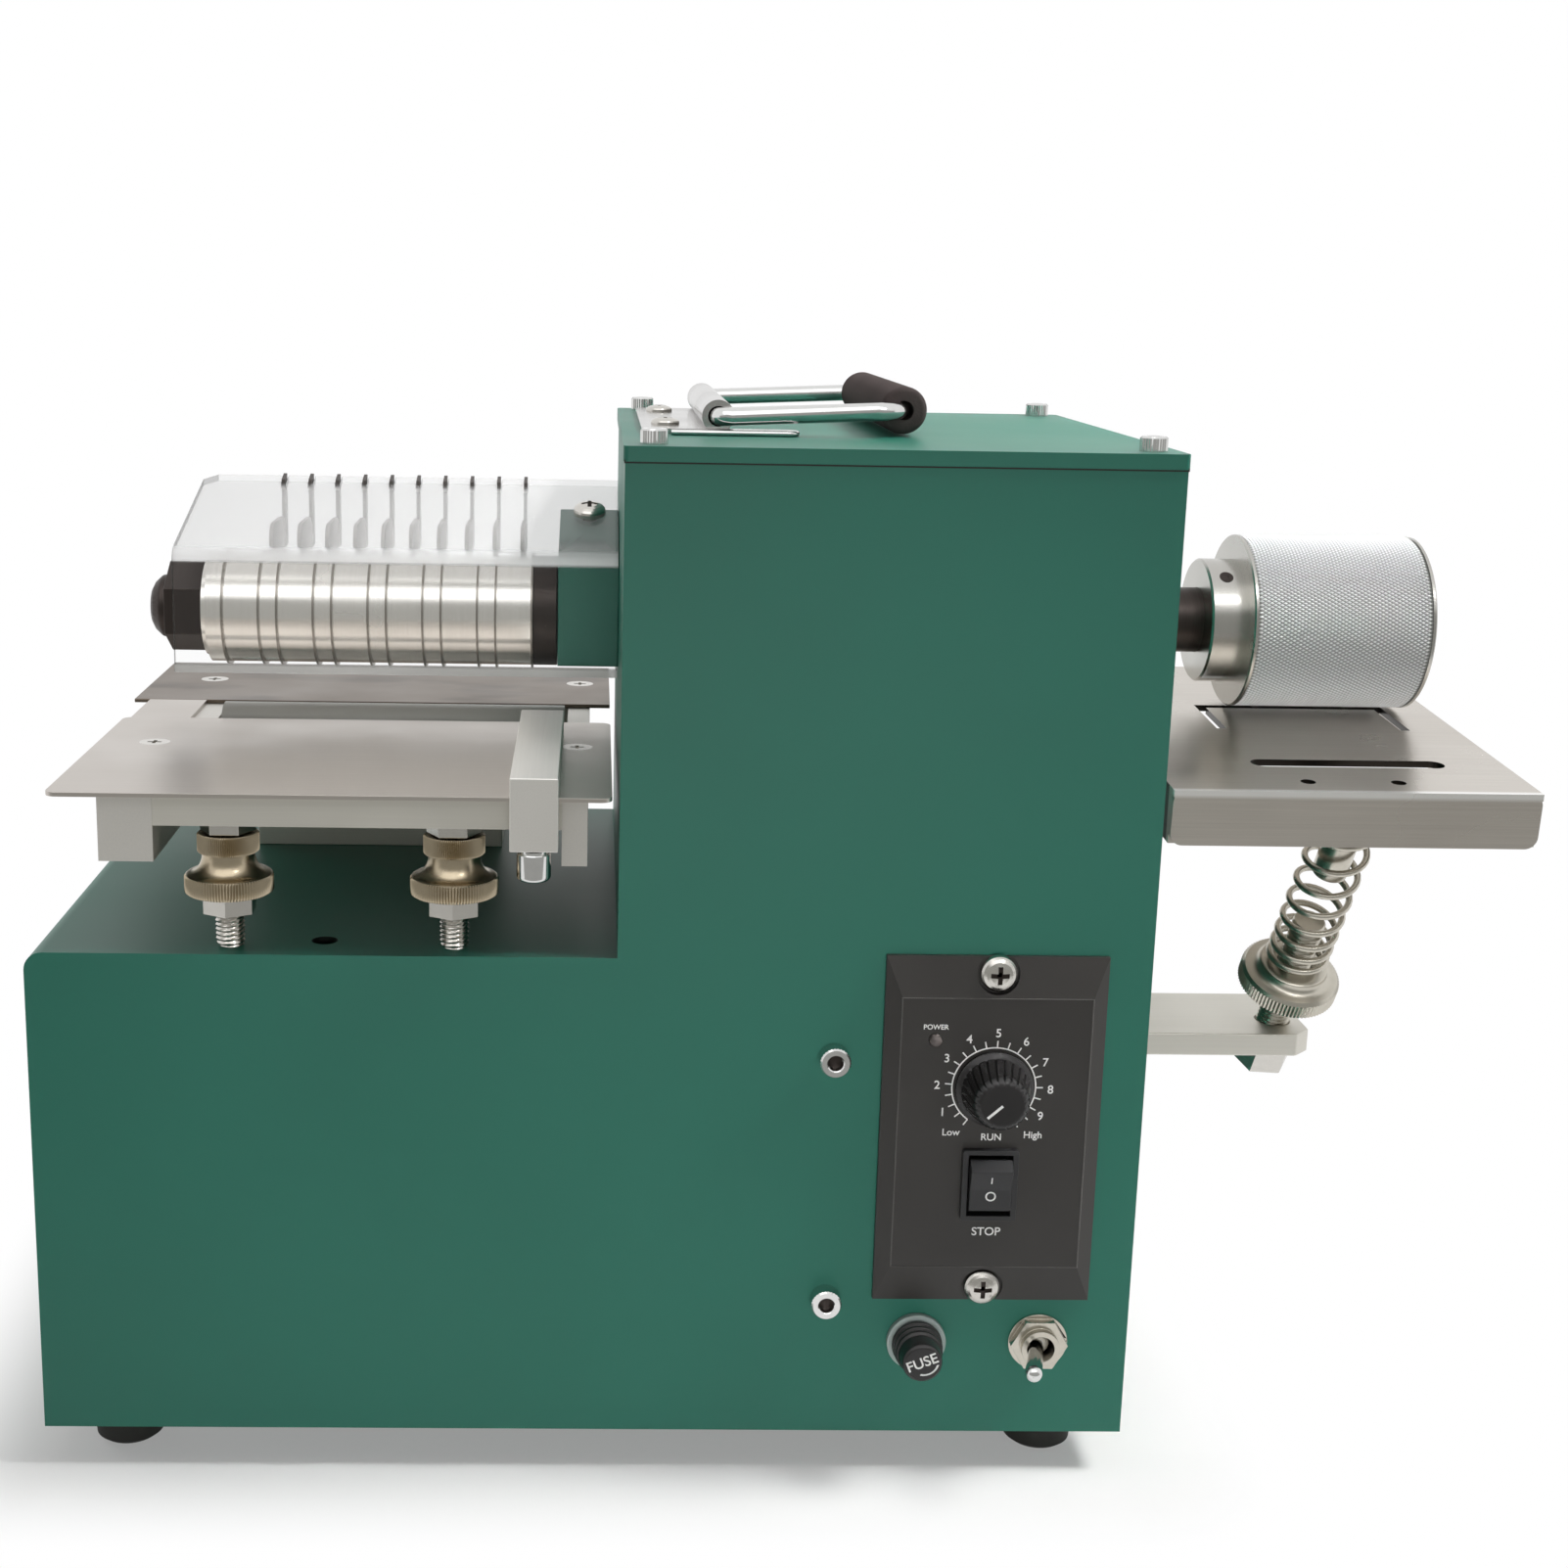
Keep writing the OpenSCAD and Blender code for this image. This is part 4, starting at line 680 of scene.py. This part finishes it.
def make_jack(node, body):
    low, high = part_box(node)
    joint = joint_at(node + "_turn")
    place = Matrix.Translation((joint.x, joint.y, 0))
    stud_r, pitch, cut = 4 * MM, 1.25 * MM, 0.55 * MM
    wheel_h, gap = 16.8 * MM, 0.3 * MM
    wheel_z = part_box("jack_nuts")[0].z - gap - wheel_h
    lock, lock_h, lock_edge = 13 * MM, 5.7 * MM, 0.9 * MM
    stud = Solid()
    stud.add(thread(stud_r, pitch, high.z - low.z, cut), place @ raised(low.z))
    stud.add(hex_bar(lock, wheel_z - lock_h, wheel_z, lock_edge), place)
    stud.piece(node + "_stud", "bright", body, node)

    r = (high.x - low.x) / 2
    bore, rib = 4.1 * MM, 0.42 * MM
    shoulder, neck, collar = r - 0.8 * MM, r - 4.9 * MM, r - 3.6 * MM
    rim_top, neck_z, collar_z = 5.6 * MM, 11.2 * MM, 11.9 * MM
    round_by, step = 0.5 * MM, 0.4 * MM
    turns = [math.pi / 2 * k / 12 for k in range(13)]
    flare = [(shoulder - (shoulder - neck) * math.sin(a), neck_z - (neck_z - rim_top) * math.cos(a))
             for a in turns]
    profile = [
        (bore, 0), (r - 1.6 * MM, 0), (r - round_by, 0.3 * MM), (r, 0.8 * MM, rib),
        (r, rim_top - 0.8 * MM, rib), (r - step, rim_top - 0.3 * MM), *flare,
        (collar - step, collar_z - step), (collar, collar_z, rib), (collar, wheel_h - round_by, rib),
        (collar - round_by, wheel_h), (bore, wheel_h)]
    wheel = Solid()
    wheel.add(lathe(profile, 180), place @ raised(wheel_z))
    wheel.piece(node + "_wheel", "nickel", body)


# Spring, its knurled nut and its stud on one leaning axis

def reach(place, node):
    """A node's lowest and highest point along the Z of a placement."""
    inverse = place.inverted()
    heights = [(inverse @ v.co).z for v in NODES[node].data.vertices]
    return min(heights), max(heights)


def make_spring_set():
    place = along(STUD_AXIS, STUD)
    start, end = reach(place, "table_spring")
    wire, radius, turns, steps = 1.0 * MM, 8.25 * MM, 8.5, 30
    # The turns lie closer together at the foot
    slow = 0.45
    points = []
    for i in range(int(turns * steps) + 1):
        t = i / (turns * steps)
        z = start + wire + (end - start - 2 * wire) * (slow * t + (1 - slow) * t * t)
        points.append(polar(radius, 2 * math.pi * i / steps, z))
    spring = Solid()
    spring.add(sweep(points, wire, 12), place)
    made = spring.piece("pressure_spring", "grey_nickel", "frame", "table_spring")
    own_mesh(made)

    stud_r, pitch, cut = 5 * MM, 1.5 * MM, 0.6 * MM
    low, high = reach(place, "spring_stud")
    stud = Solid()
    stud.add(thread(stud_r, pitch, high - low, cut), place @ raised(low))
    stud.piece("spring_stud_thread", "grey_nickel", "frame", "spring_stud")

    r, bore, rib, seat_r, seat_z = 14.75 * MM, 5.1 * MM, 0.4 * MM, 10.0 * MM, 10 * MM
    profile = [
        (bore, 0), (r - 1.2 * MM, 0), (r, 0.9 * MM, rib), (r, 5.4 * MM, rib), (r - 1.0 * MM, 6.4 * MM),
        (12.4 * MM, 6.8 * MM), (11.4 * MM, 7.0 * MM), (10.6 * MM, 7.6 * MM), (seat_r, 8.4 * MM),
        (seat_r, seat_z - 0.3 * MM), (seat_r - 0.4 * MM, seat_z), (bore, seat_z)]
    nut = Solid()
    nut.add(lathe(profile, 168), place @ raised(reach(place, "spring_nut")[0]))
    nut.piece("spring_nut_knurled", "grey_nickel", "tension_nut", "spring_nut")


# Socket-head screws with ribbed heads, and painted shade in their sockets

def socket_head(d, head_d):
    """A head for a screw of diameter d. It stands on Z = 0 and has a round hole."""
    r, hole, height = head_d / 2, d * 0.42, d
    floor = height * 0.45
    edge, mouth, rib = 0.5 * MM, 0.3 * MM, 0.18 * MM
    return lathe([(hole, floor), (CORE, floor), (CORE, 0), (r, 0, rib), (r, height - edge, rib),
                  (r - edge, height), (hole + mouth, height), (hole, height - mouth)], 60)


def make_socket_screws():
    low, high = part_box("lid")
    inset, bracket_inset = 8.0 * MM, 10 * MM
    lid_screw, wall_screw = (4 * MM, 7.2 * MM), (5 * MM, 8.5 * MM)
    places = []
    for x in (low.x + inset, high.x - inset):
        for y in (low.y + inset, high.y - inset):
            places.append((*lid_screw, Matrix.Translation((x, y, high.z))))
    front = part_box("housing")[0].y
    foot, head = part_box("motor_bracket")
    for z in (foot.z + bracket_inset, head.z - bracket_inset):
        places.append((*wall_screw, along((0, -1, 0), ((foot.x + head.x) / 2, front, z))))
    heads = Solid()
    # Painted shade: a dark hex set down in each socket
    socket_shade = Solid()
    for d, head_d, place in places:
        across, floor, top, edge = d * 0.78, d * 0.44, d * 0.6, 0.02 * MM
        heads.add(socket_head(d, head_d), place)
        socket_shade.add(hex_bar(across, floor, top, edge), place)
    heads.piece("socket_screw_heads", "chrome", "frame", "socket_screws")
    socket_shade.piece("socket_screw_recess_shade", "dark", "frame")


# Painted shade: dark strips laid on the floors of the cross recesses in the round-head screws

def make_cross_slots():
    head_d, head_h, floor_h = 10 * MM, 3.6 * MM, 0.3 * MM
    half, wide, depth = head_d * 0.25, head_d * 0.0625, head_h * 0.56
    low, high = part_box("control_panel")
    edge, inset = 1.5 * MM, 4.4 * MM
    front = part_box("housing")[0].y - edge
    places = [along((0, -1, 0), ((low.x + high.x) / 2, front, z))
              for z in (low.z + inset, high.z - inset)]
    block_low, block_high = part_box("bearing_block")
    guard_t, screw_y, block_top = 2 * MM, 12 * MM, 19 * MM
    at = Vector(((block_low.x + block_high.x) / 2, SHAFT.y + screw_y, 0))
    at.z = SHAFT.z + block_top + (at.y - block_low.y) * math.tan(SLOPE)
    places.append(Matrix.Translation(at) @ Matrix.Rotation(SLOPE, 4, "X") @ raised(guard_t))
    # Each strip is painted shade, set on the floor of a cross recess
    slot_shade_strips = Solid()
    for place in places:
        for turn in (0, math.pi / 2):
            slot_shade_strips.add(strip([(-half, -wide), (half, -wide)], [(-half, wide), (half, wide)], floor_h),
                      place @ Matrix.Rotation(turn, 4, "Z") @ raised(depth))
    slot_shade_strips.piece("cross_slot_shade", "dark", "frame")


# Clamp screw of the edge guide, with a rounded head

def make_edge_guide_screw():
    low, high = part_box("edge_guide_screw")
    r = (high.x - low.x) / 2
    length, head, shank = high.z - low.z, 8.1 * MM, 2 * MM
    bend, edge, step = 1.2 * MM, 0.3 * MM, 0.6 * MM
    neck = r - 0.9 * MM
    place = Matrix.Translation(((low.x + high.x) / 2, (low.y + high.y) / 2, low.z))
    end = corner((r - bend, bend), bend, -90, 0, 6)
    solid = Solid()
    solid.add(lathe([(CORE, 0), *end, (r, head - step - edge), (r - edge, head - step), (neck, head - step),
                     (neck, head), (CORE, head)], 64), place)
    solid.add(lathe([(CORE, head), (shank, head), (shank, length), (CORE, length)], 24), place)
    solid.piece("edge_guide_thumb_screw", "chrome", "strap_guide", "edge_guide_screw")


# Carry handle: a bent rod with round corners, a foam grip and a wire loop beside the plate

def make_handle():
    low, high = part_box("handle_bail")
    rod = 2.5 * MM
    grip_low, grip_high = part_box("handle_grip")
    grip = Vector(((grip_low.x + grip_high.x) / 2, HANDLE.y, (grip_low.z + grip_high.z) / 2))
    far = (grip - HANDLE).length
    half = (high.y - low.y) / 2 - rod
    rise = math.atan2(grip.z - HANDLE.z, grip.x - HANDLE.x)
    place = Matrix.Translation(HANDLE) @ Matrix.Rotation(-rise, 4, "Y")
    bend, tight = 8 * MM, 3.4 * MM
    path = corner((far - bend, -half + bend), bend, -90, 0)
    path += corner((far - bend, half - bend), bend, 0, 90)
    path += corner((tight, half - tight), tight, 90, 180)
    path += corner((tight, -half + tight), tight, 180, 270)
    bail = Solid()
    bail.add(sweep([(x, y, 0) for x, y in path], rod, 16, True), place)
    bail.piece("handle_rod", "chrome", "carry_handle", "handle_bail")

    r = (grip_high.z - grip_low.z) / 2
    span = (grip_high.y - grip_low.y) / 2
    end, bore = 1.5 * MM, rod + 0.2 * MM
    sides = corner((r - end, span - end), end, 0, 90, 5)
    outline = [(x, -y) for x, y in reversed(sides)] + sides
    foam = Solid()
    foam.add(lathe([(bore, -span), *outline, (bore, span)], 48),
             Matrix.Translation(grip) @ Matrix.Rotation(math.pi / 2, 4, "X"))
    foam.piece("handle_foam_grip", "foam", "carry_handle", "handle_grip")

    plate_low, plate_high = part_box("handle_plate")
    wire, turn = 0.8 * MM, 3 * MM
    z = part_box("lid")[1].z + wire
    y = plate_low.y - 2.4 * MM
    route = [(plate_low.x + 8 * MM, y - turn), *corner((plate_high.x + 14 * MM, y), turn, -90, 90, 8),
             (plate_high.x - 2 * MM, y + turn)]
    loop = Solid()
    loop.add(sweep([(*at, z) for at in route], wire, 10))
    loop.piece("handle_return_wire", "chrome", "frame")


# Painted shade: a dark band in the gap under the lid

def make_lid_seal():
    low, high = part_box("lid")
    inset, height, wall = 0.3 * MM, 0.9 * MM, 0.97
    size = Matrix.Diagonal(((high.x - low.x) / 2 - inset, (high.y - low.y) / 2 - inset, 1, 1))
    centre = Vector(((low.x + high.x) / 2, (low.y + high.y) / 2, low.z - height / 2))
    half = math.sqrt(2)
    # Painted shade: a thin dark band set just under the lid's edge
    gap_shade_band = Solid()
    gap_shade_band.add(lathe([(half * wall, 0), (half, 0), (half, height), (half * wall, height)], 4),
             Matrix.Translation(centre) @ size @ Matrix.Rotation(math.pi / 4, 4, "Z"))
    gap_shade_band.piece("lid_gap_shade", "rubber", "frame")


# Tips of the comb's fingers, which stand up through the notches at the back of the guard

def make_comb_tips():
    low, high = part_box("stripper_comb")
    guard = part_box("blade_guard")[1]
    first, pitch, count, half = low.x + 6 * MM, 8.58 * MM, 10, 0.55 * MM
    front, rear, proud = 6.6 * MM, 1.4 * MM, 1.2 * MM
    root, foot, neck = high.y - 0.05 * MM, high.z - 10 * MM, high.z - 6 * MM
    ends = [(guard.y - back, guard.z - math.tan(SLOPE) * back + proud) for back in (rear, front)]
    side = [(root, foot), (guard.y - rear, foot), *ends, (guard.y - front, neck), (root, neck)]
    n = len(side)
    faces = [list(range(n)), list(range(2 * n - 1, n - 1, -1))]
    faces += [[k, n + k, n + (k + 1) % n, (k + 1) % n] for k in range(n)]
    tips = Solid()
    for i in range(count):
        x = first + i * pitch
        tips.add(([(x + s * half, y, z) for s in (-1, 1) for y, z in side], faces))
    tips.piece("comb_finger_tips", "comb_tip", "frame")


# Edge of the printed face on the control panel: a thin rod that catches the light, in a paler grey than the
# panel, which paints a highlight line round the face

def make_panel_edge():
    low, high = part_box("control_panel")
    side, end, wire, sunk = 4.3 * MM, 11 * MM, 0.22 * MM, 0.066 * MM
    corners = [(low.x + side, low.z + end), (high.x - side, low.z + end),
               (high.x - side, high.z - end), (low.x + side, high.z - end)]
    # Painted highlight: the rod is a paler grey than the panel
    edge = Solid()
    edge.add(sweep([(x, low.y + sunk, z) for x, z in corners], wire, 10, True))
    edge.piece("panel_face_edge", "panel_edge", "frame")


# Dial, marks and words on the front

def on_panel(x, z, out):
    """Placement on the front: X across, Y up and Z out of the panel."""
    return Matrix.Translation((x, out, z)) @ Matrix.Rotation(math.pi / 2, 4, "X")


def words(name, text, height, place, body="frame", bold=0.03 * MM):
    """White raised lettering, centred on a placement."""
    curve = bpy.data.curves.new(name, "FONT")
    curve.body = text
    curve.size = height / CAPITAL
    curve.align_x = "CENTER"
    curve.align_y = "CENTER"
    curve.extrude = 0.04 * MM
    curve.offset = bold
    curve.materials.append(LOOKS["white"].mat)
    made = new_object(name, curve)
    made.matrix_world = place
    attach(made, body)


def make_dial():
    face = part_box("control_panel")[0].y
    ring, tick, digit, line = 11.35 * MM, 13.3 * MM, 15.4 * MM, 0.35 * MM
    middle, tick_step, ticks, digit_step = 88, 14.6, 10, 30
    place = on_panel(KNOB.x, KNOB.z, face)
    ends = (middle - ticks * tick_step, middle + ticks * tick_step)
    arcs = [corner((0, 0), ring + side * line / 2, *ends, 72) for side in (-1, 1)]
    marks = Solid()
    marks.add(strip(*arcs, PRINT), place)
    for i in range(-ticks, ticks + 1):
        a = math.radians(middle + tick_step * i)
        across = Vector((-math.sin(a), math.cos(a))) * line / 2
        inner = Vector((math.cos(a), math.sin(a))) * ring
        outer = inner * tick / ring
        marks.add(strip([inner - across, outer - across], [inner + across, outer + across], PRINT), place)
    marks.piece("dial_marks", "white", "frame")

    number_h = 2.3 * MM
    for number in range(1, 10):
        a = math.radians(middle - digit_step * (number - 5))
        at = (KNOB.x + digit * math.cos(a), KNOB.z + digit * math.sin(a))
        words(f"dial_number_{number}", str(number), number_h, on_panel(*at, face - PRINT))
    lamp_low, lamp_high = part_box("power_lamp")
    lamp = ((lamp_low.x + lamp_high.x) / 2, (lamp_low.z + lamp_high.z) / 2)
    labels = (
        ("low", "Low", 1.9, KNOB.x - 11.05 * MM, KNOB.z - 13.0 * MM),
        ("high", "High", 1.9, KNOB.x + 11.3 * MM, KNOB.z - 13.6 * MM),
        ("run", "RUN", 1.9, KNOB.x, KNOB.z - 14.3 * MM),
        ("stop", "STOP", 2.3, KNOB.x, ROCKER.z - 14.25 * MM),
        ("power", "POWER", 1.35, lamp[0], lamp[1] + 3.6 * MM),
    )
    for name, text, height, x, z in labels:
        words("label_" + name, text, height * MM, on_panel(x, z, face - PRINT))

    lens_r, ring_r, ring_h = 1.35 * MM, 1.75 * MM, 0.3 * MM
    ring_mark = Solid()
    ring_mark.add(strip(corner((0, 0), lens_r, 0, 360, 32), corner((0, 0), ring_r, 0, 360, 32), ring_h),
                  on_panel(*lamp, face))
    ring_mark.piece("lamp_ring", "grey", "frame")


# Speed knob: a tapered barrel with slanting grooves, a bevelled face and a white pointer

def make_knob():
    low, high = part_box("speed_knob")
    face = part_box("control_panel")[0].y
    foot, core, dish = 0.3 * MM, 0.001 * MM, 0.05 * MM
    length = face - low.y
    r = (high.x - low.x) / 2
    flutes, per_flute, twist, groove = 24, 6, math.radians(14), 0.55 * MM
    steps = flutes * per_flute
    # Radius, height and share of the grooves' depth, from the panel to the face
    rows = [(core, foot, 0), (r - 0.3 * MM, foot, 0), (r, foot + 0.3 * MM, 0), (r, foot + 1.7 * MM, 0),
            (r - 0.5 * MM, foot + 2.2 * MM, 0), (r - 1.2 * MM, foot + 2.6 * MM, 0.3)]
    rows += [(r - (1.2 + 1.7 * k / 8) * MM, foot + (2.9 + 8.3 * k / 8) * MM, 1) for k in range(9)]
    rows += [(r - 3.3 * MM, length - 1.1 * MM, 0.8), (r - 4.1 * MM, length - 0.4 * MM, 0.3),
             (r - 4.8 * MM, length, 0), (r - 5.4 * MM, length - dish, 0), (core, length - dish, 0)]
    verts = []
    for radius, z, share in rows:
        for i in range(steps):
            cut = groove * share if i % per_flute == 0 else 0
            verts.append(polar(radius - cut, 2 * math.pi * i / steps + twist * z / length, z))
    knob = Solid()
    knob.add((verts, skin(len(rows), steps)), on_panel(KNOB.x, KNOB.z, face))
    knob.piece("speed_knob_fluted", "black", "speed_dial", "speed_knob")

    a = math.radians(222)
    pointer_len, half_line = 5.2 * MM, 0.35 * MM
    way = Vector((math.cos(a), math.sin(a)))
    across = Vector((-way.y, way.x)) * half_line
    tip = way * pointer_len
    pointer = Solid()
    pointer.add(strip([-across, tip - across], [across, tip + across], PRINT),
                on_panel(KNOB.x, KNOB.z, low.y + dish))
    pointer.piece("knob_pointer", "white", "speed_dial")


def make_switch_marks():
    """I and O lie on the two sloping halves of the rocker, FUSE on the fuse cap's end."""
    tipped, slope, face, skin_gap = math.radians(8), 0.1, 3 * MM, 0.03 * MM
    lift = Matrix.Translation(ROCKER) @ Matrix.Rotation(tipped, 4, "X")
    for name, text, height, z in (("rocker_on_mark", "I", 1.9, 3.1), ("rocker_off_mark", "O", 2.7, -1.9)):
        side = 1 if z > 0 else -1
        at = Matrix.Translation((0, -face - slope * abs(z) * MM - skin_gap, z * MM))
        turn = Matrix.Rotation(math.pi / 2 + side * math.atan(slope), 4, "X")
        words(name, text, height * MM, lift @ at @ turn, "run_rocker", 0.02 * MM)

    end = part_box("fuse_cap")[0].y
    word_h, word_up, word_turn = 2.9 * MM, 0.4 * MM, math.radians(22)
    place = on_panel(FUSE.x, FUSE.z, end - skin_gap) @ Matrix.Rotation(word_turn, 4, "Z")
    words("fuse_word", "FUSE", word_h, place @ Matrix.Translation((0, word_up, 0)), "fuse_carrier", 0.05 * MM)
    arc_x, arc_h = 0.6 * MM, 0.05 * MM
    inner = corner((arc_x, 0.4 * MM), 3.5 * MM, 235, 325, 16)
    outer = corner((arc_x, 0.7 * MM), 4.25 * MM, 235, 325, 16)
    arc = Solid()
    arc.add(strip(inner, outer, arc_h), place)
    arc.piece("fuse_turn_arc", "white", "fuse_carrier")


make_wheel()
make_jack("left_jack", "jack_left")
make_jack("right_jack", "jack_right")
make_spring_set()
make_socket_screws()
make_cross_slots()
make_edge_guide_screw()
make_handle()
make_lid_seal()
make_comb_tips()
make_panel_edge()
make_dial()
make_knob()
make_switch_marks()


# Floor, light and camera

def seen_rays(nodes):
    """1 for rays from the eye, from a mirror or through glass, which show the background."""
    rays = nodes.node("ShaderNodeLightPath").outputs
    either = nodes.calculate("MAXIMUM", rays["Is Camera Ray"], rays["Is Glossy Ray"])
    return nodes.calculate("MAXIMUM", either, rays["Is Transmission Ray"])


def bare_material(name, mesh):
    """The empty node tree of a mesh's new material."""
    mat = bpy.data.materials.new(name)
    mat.use_nodes = True
    mat.node_tree.nodes.clear()
    mesh.materials.append(mat)
    return Nodes(mat.node_tree)


def make_floor():
    """A pale floor that keeps the shadow near the object and turns white further away."""
    size = 6.0
    grey = (0.62, 0.62, 0.61, 1)
    half = (0.15, 0.075, 0)
    near, far, least = 0.0, 0.05, 0.28
    mesh = bpy.data.meshes.new("floor")
    corners = [(-size, -size, 0), (size, -size, 0), (size, size, 0), (-size, size, 0)]
    mesh.from_pydata(corners, [], [(0, 1, 2, 3)])
    floor = new_object("floor", mesh)
    nodes = bare_material("pale_floor", mesh)
    beyond = nodes.vector("SUBTRACT", nodes.vector("ABSOLUTE", nodes.point()), half)
    away = nodes.vector("LENGTH", nodes.vector("MAXIMUM", beyond))
    fade = nodes.ramp(away, near, far, least, 1.0, interpolation_type="SMOOTHSTEP")
    share = nodes.calculate("MULTIPLY", fade, seen_rays(nodes))
    matte = nodes.node("ShaderNodeBsdfDiffuse", Color=grey)
    glow = nodes.node("ShaderNodeEmission")
    output = nodes.node("ShaderNodeOutputMaterial")
    nodes.link(nodes.blend(share, matte.outputs[0], glow.outputs[0]), output.inputs["Surface"])


def make_world():
    """White where it is seen; for the light itself, a studio that is brighter behind than in front."""
    front, behind = -0.9, 0.5
    dim, bright = 0.05, 0.32
    world = bpy.data.worlds.new("studio")
    bpy.context.scene.world = world
    world.use_nodes = True
    world.node_tree.nodes.clear()
    nodes = Nodes(world.node_tree)
    way = nodes.separate(nodes.node("ShaderNodeTexCoord").outputs["Generated"])
    room = nodes.node("ShaderNodeBackground", Color=(1, 0.99, 0.97, 1))
    nodes.link(nodes.ramp(way["Y"], front, behind, dim, bright), room.inputs["Strength"])
    white = nodes.node("ShaderNodeBackground", Color=(1, 1, 1, 1))
    output = nodes.node("ShaderNodeOutputWorld")
    nodes.link(nodes.blend(seen_rays(nodes), room.outputs[0], white.outputs[0]), output.inputs["Surface"])


def make_front_card():
    """The dim side of the studio behind the camera, seen only as a reflection in metal and paint."""
    half, top, near, far, gap = 1.6, 0.62, -0.28, -0.8, 0.002
    dim, warmth = 0.40, 0.96
    corners = [(x, y, z) for y, z in ((near, gap), (far, gap), (far, top)) for x in (-half, half)]
    mesh = bpy.data.meshes.new("front_card")
    mesh.from_pydata(corners, [], [(0, 1, 3, 2), (2, 3, 5, 4)])
    card = new_object("front_card", mesh)
    card.visible_camera = False
    card.visible_diffuse = False
    card.visible_transmission = False
    card.visible_shadow = False
    nodes = bare_material("dim_card", mesh)
    glow = nodes.node("ShaderNodeEmission", Color=(dim, dim, dim * warmth, 1))
    output = nodes.node("ShaderNodeOutputMaterial")
    nodes.link(glow.outputs[0], output.inputs["Surface"])


def make_lamp(name, at, aim, size, power, spread=180, mirrored=False, lights_paint=True):
    """A soft lamp of some watts. Metal mirrors it or not, and it lights matt surfaces or not."""
    data = bpy.data.lights.new(name, "AREA")
    data.shape = "RECTANGLE"
    data.size, data.size_y = size
    data.energy = power
    data.spread = math.radians(spread)
    lamp = new_object(name, data)
    lamp.location = at
    lamp.visible_camera = False
    lamp.visible_glossy = mirrored
    lamp.visible_diffuse = lights_paint
    lamp.rotation_mode = "QUATERNION"
    lamp.rotation_quaternion = (Vector(aim) - Vector(at)).to_track_quat("-Z", "Y")


def make_camera():
    """The photograph's own view: focal length and image centre in pixels, turn in degrees, place."""
    frame_px, sensor = 1602.0, 36.0
    focal_px, centre_x, centre_y = 2173.7, 653.2, 766.8
    pitch, yaw, roll = (math.radians(a) for a in (12.414, 1.316, 0.993))
    eye = (-0.0006, -0.6256, 0.3270)
    data = bpy.data.cameras.new("camera")
    data.sensor_width = sensor
    data.lens = focal_px / frame_px * sensor
    data.shift_x = (frame_px / 2 - centre_x) / frame_px
    data.shift_y = (centre_y - frame_px / 2) / frame_px
    data.clip_start, data.clip_end = 0.01, 50
    camera = new_object("camera", data)
    forward = Vector((math.sin(yaw) * math.cos(pitch), math.cos(yaw) * math.cos(pitch), -math.sin(pitch)))
    right = Vector((math.cos(yaw), -math.sin(yaw), 0))
    up = right.cross(forward)
    across = right * math.cos(roll) + up * math.sin(roll)
    upright = up * math.cos(roll) - right * math.sin(roll)
    turn = Matrix((across, upright, -forward)).transposed().to_4x4()
    camera.matrix_world = Matrix.Translation(eye) @ turn
    bpy.context.scene.camera = camera


make_floor()
make_world()
make_front_card()
TARGET = (0.02, 0, 0.15)
make_lamp("key", (-0.3, -1.1, 1.7), TARGET, (2.0, 1.5), 7.5, mirrored=True, lights_paint=False)
make_lamp("glint", (0.55, -0.8, 1.1), TARGET, (0.25, 0.25), 1.2, mirrored=True, lights_paint=False)
make_lamp("front", (0.04, -0.80, 0.12), (0.03, 0, 0.12), (0.6, 0.4), 0.50, spread=45)
make_lamp("side", (0.75, -0.06, 0.95), (0.24, 0.0, 0.22), (0.4, 0.4), 1.05, spread=30)
make_lamp("top", (0.1, 0.3, 1.8), TARGET, (2.4, 1.8), 8.5)
make_lamp("back", (-0.9, 0.9, 0.35), TARGET, (1.0, 0.6), 4, spread=120)
make_camera()
bpy.context.scene.view_settings.view_transform = "Standard"
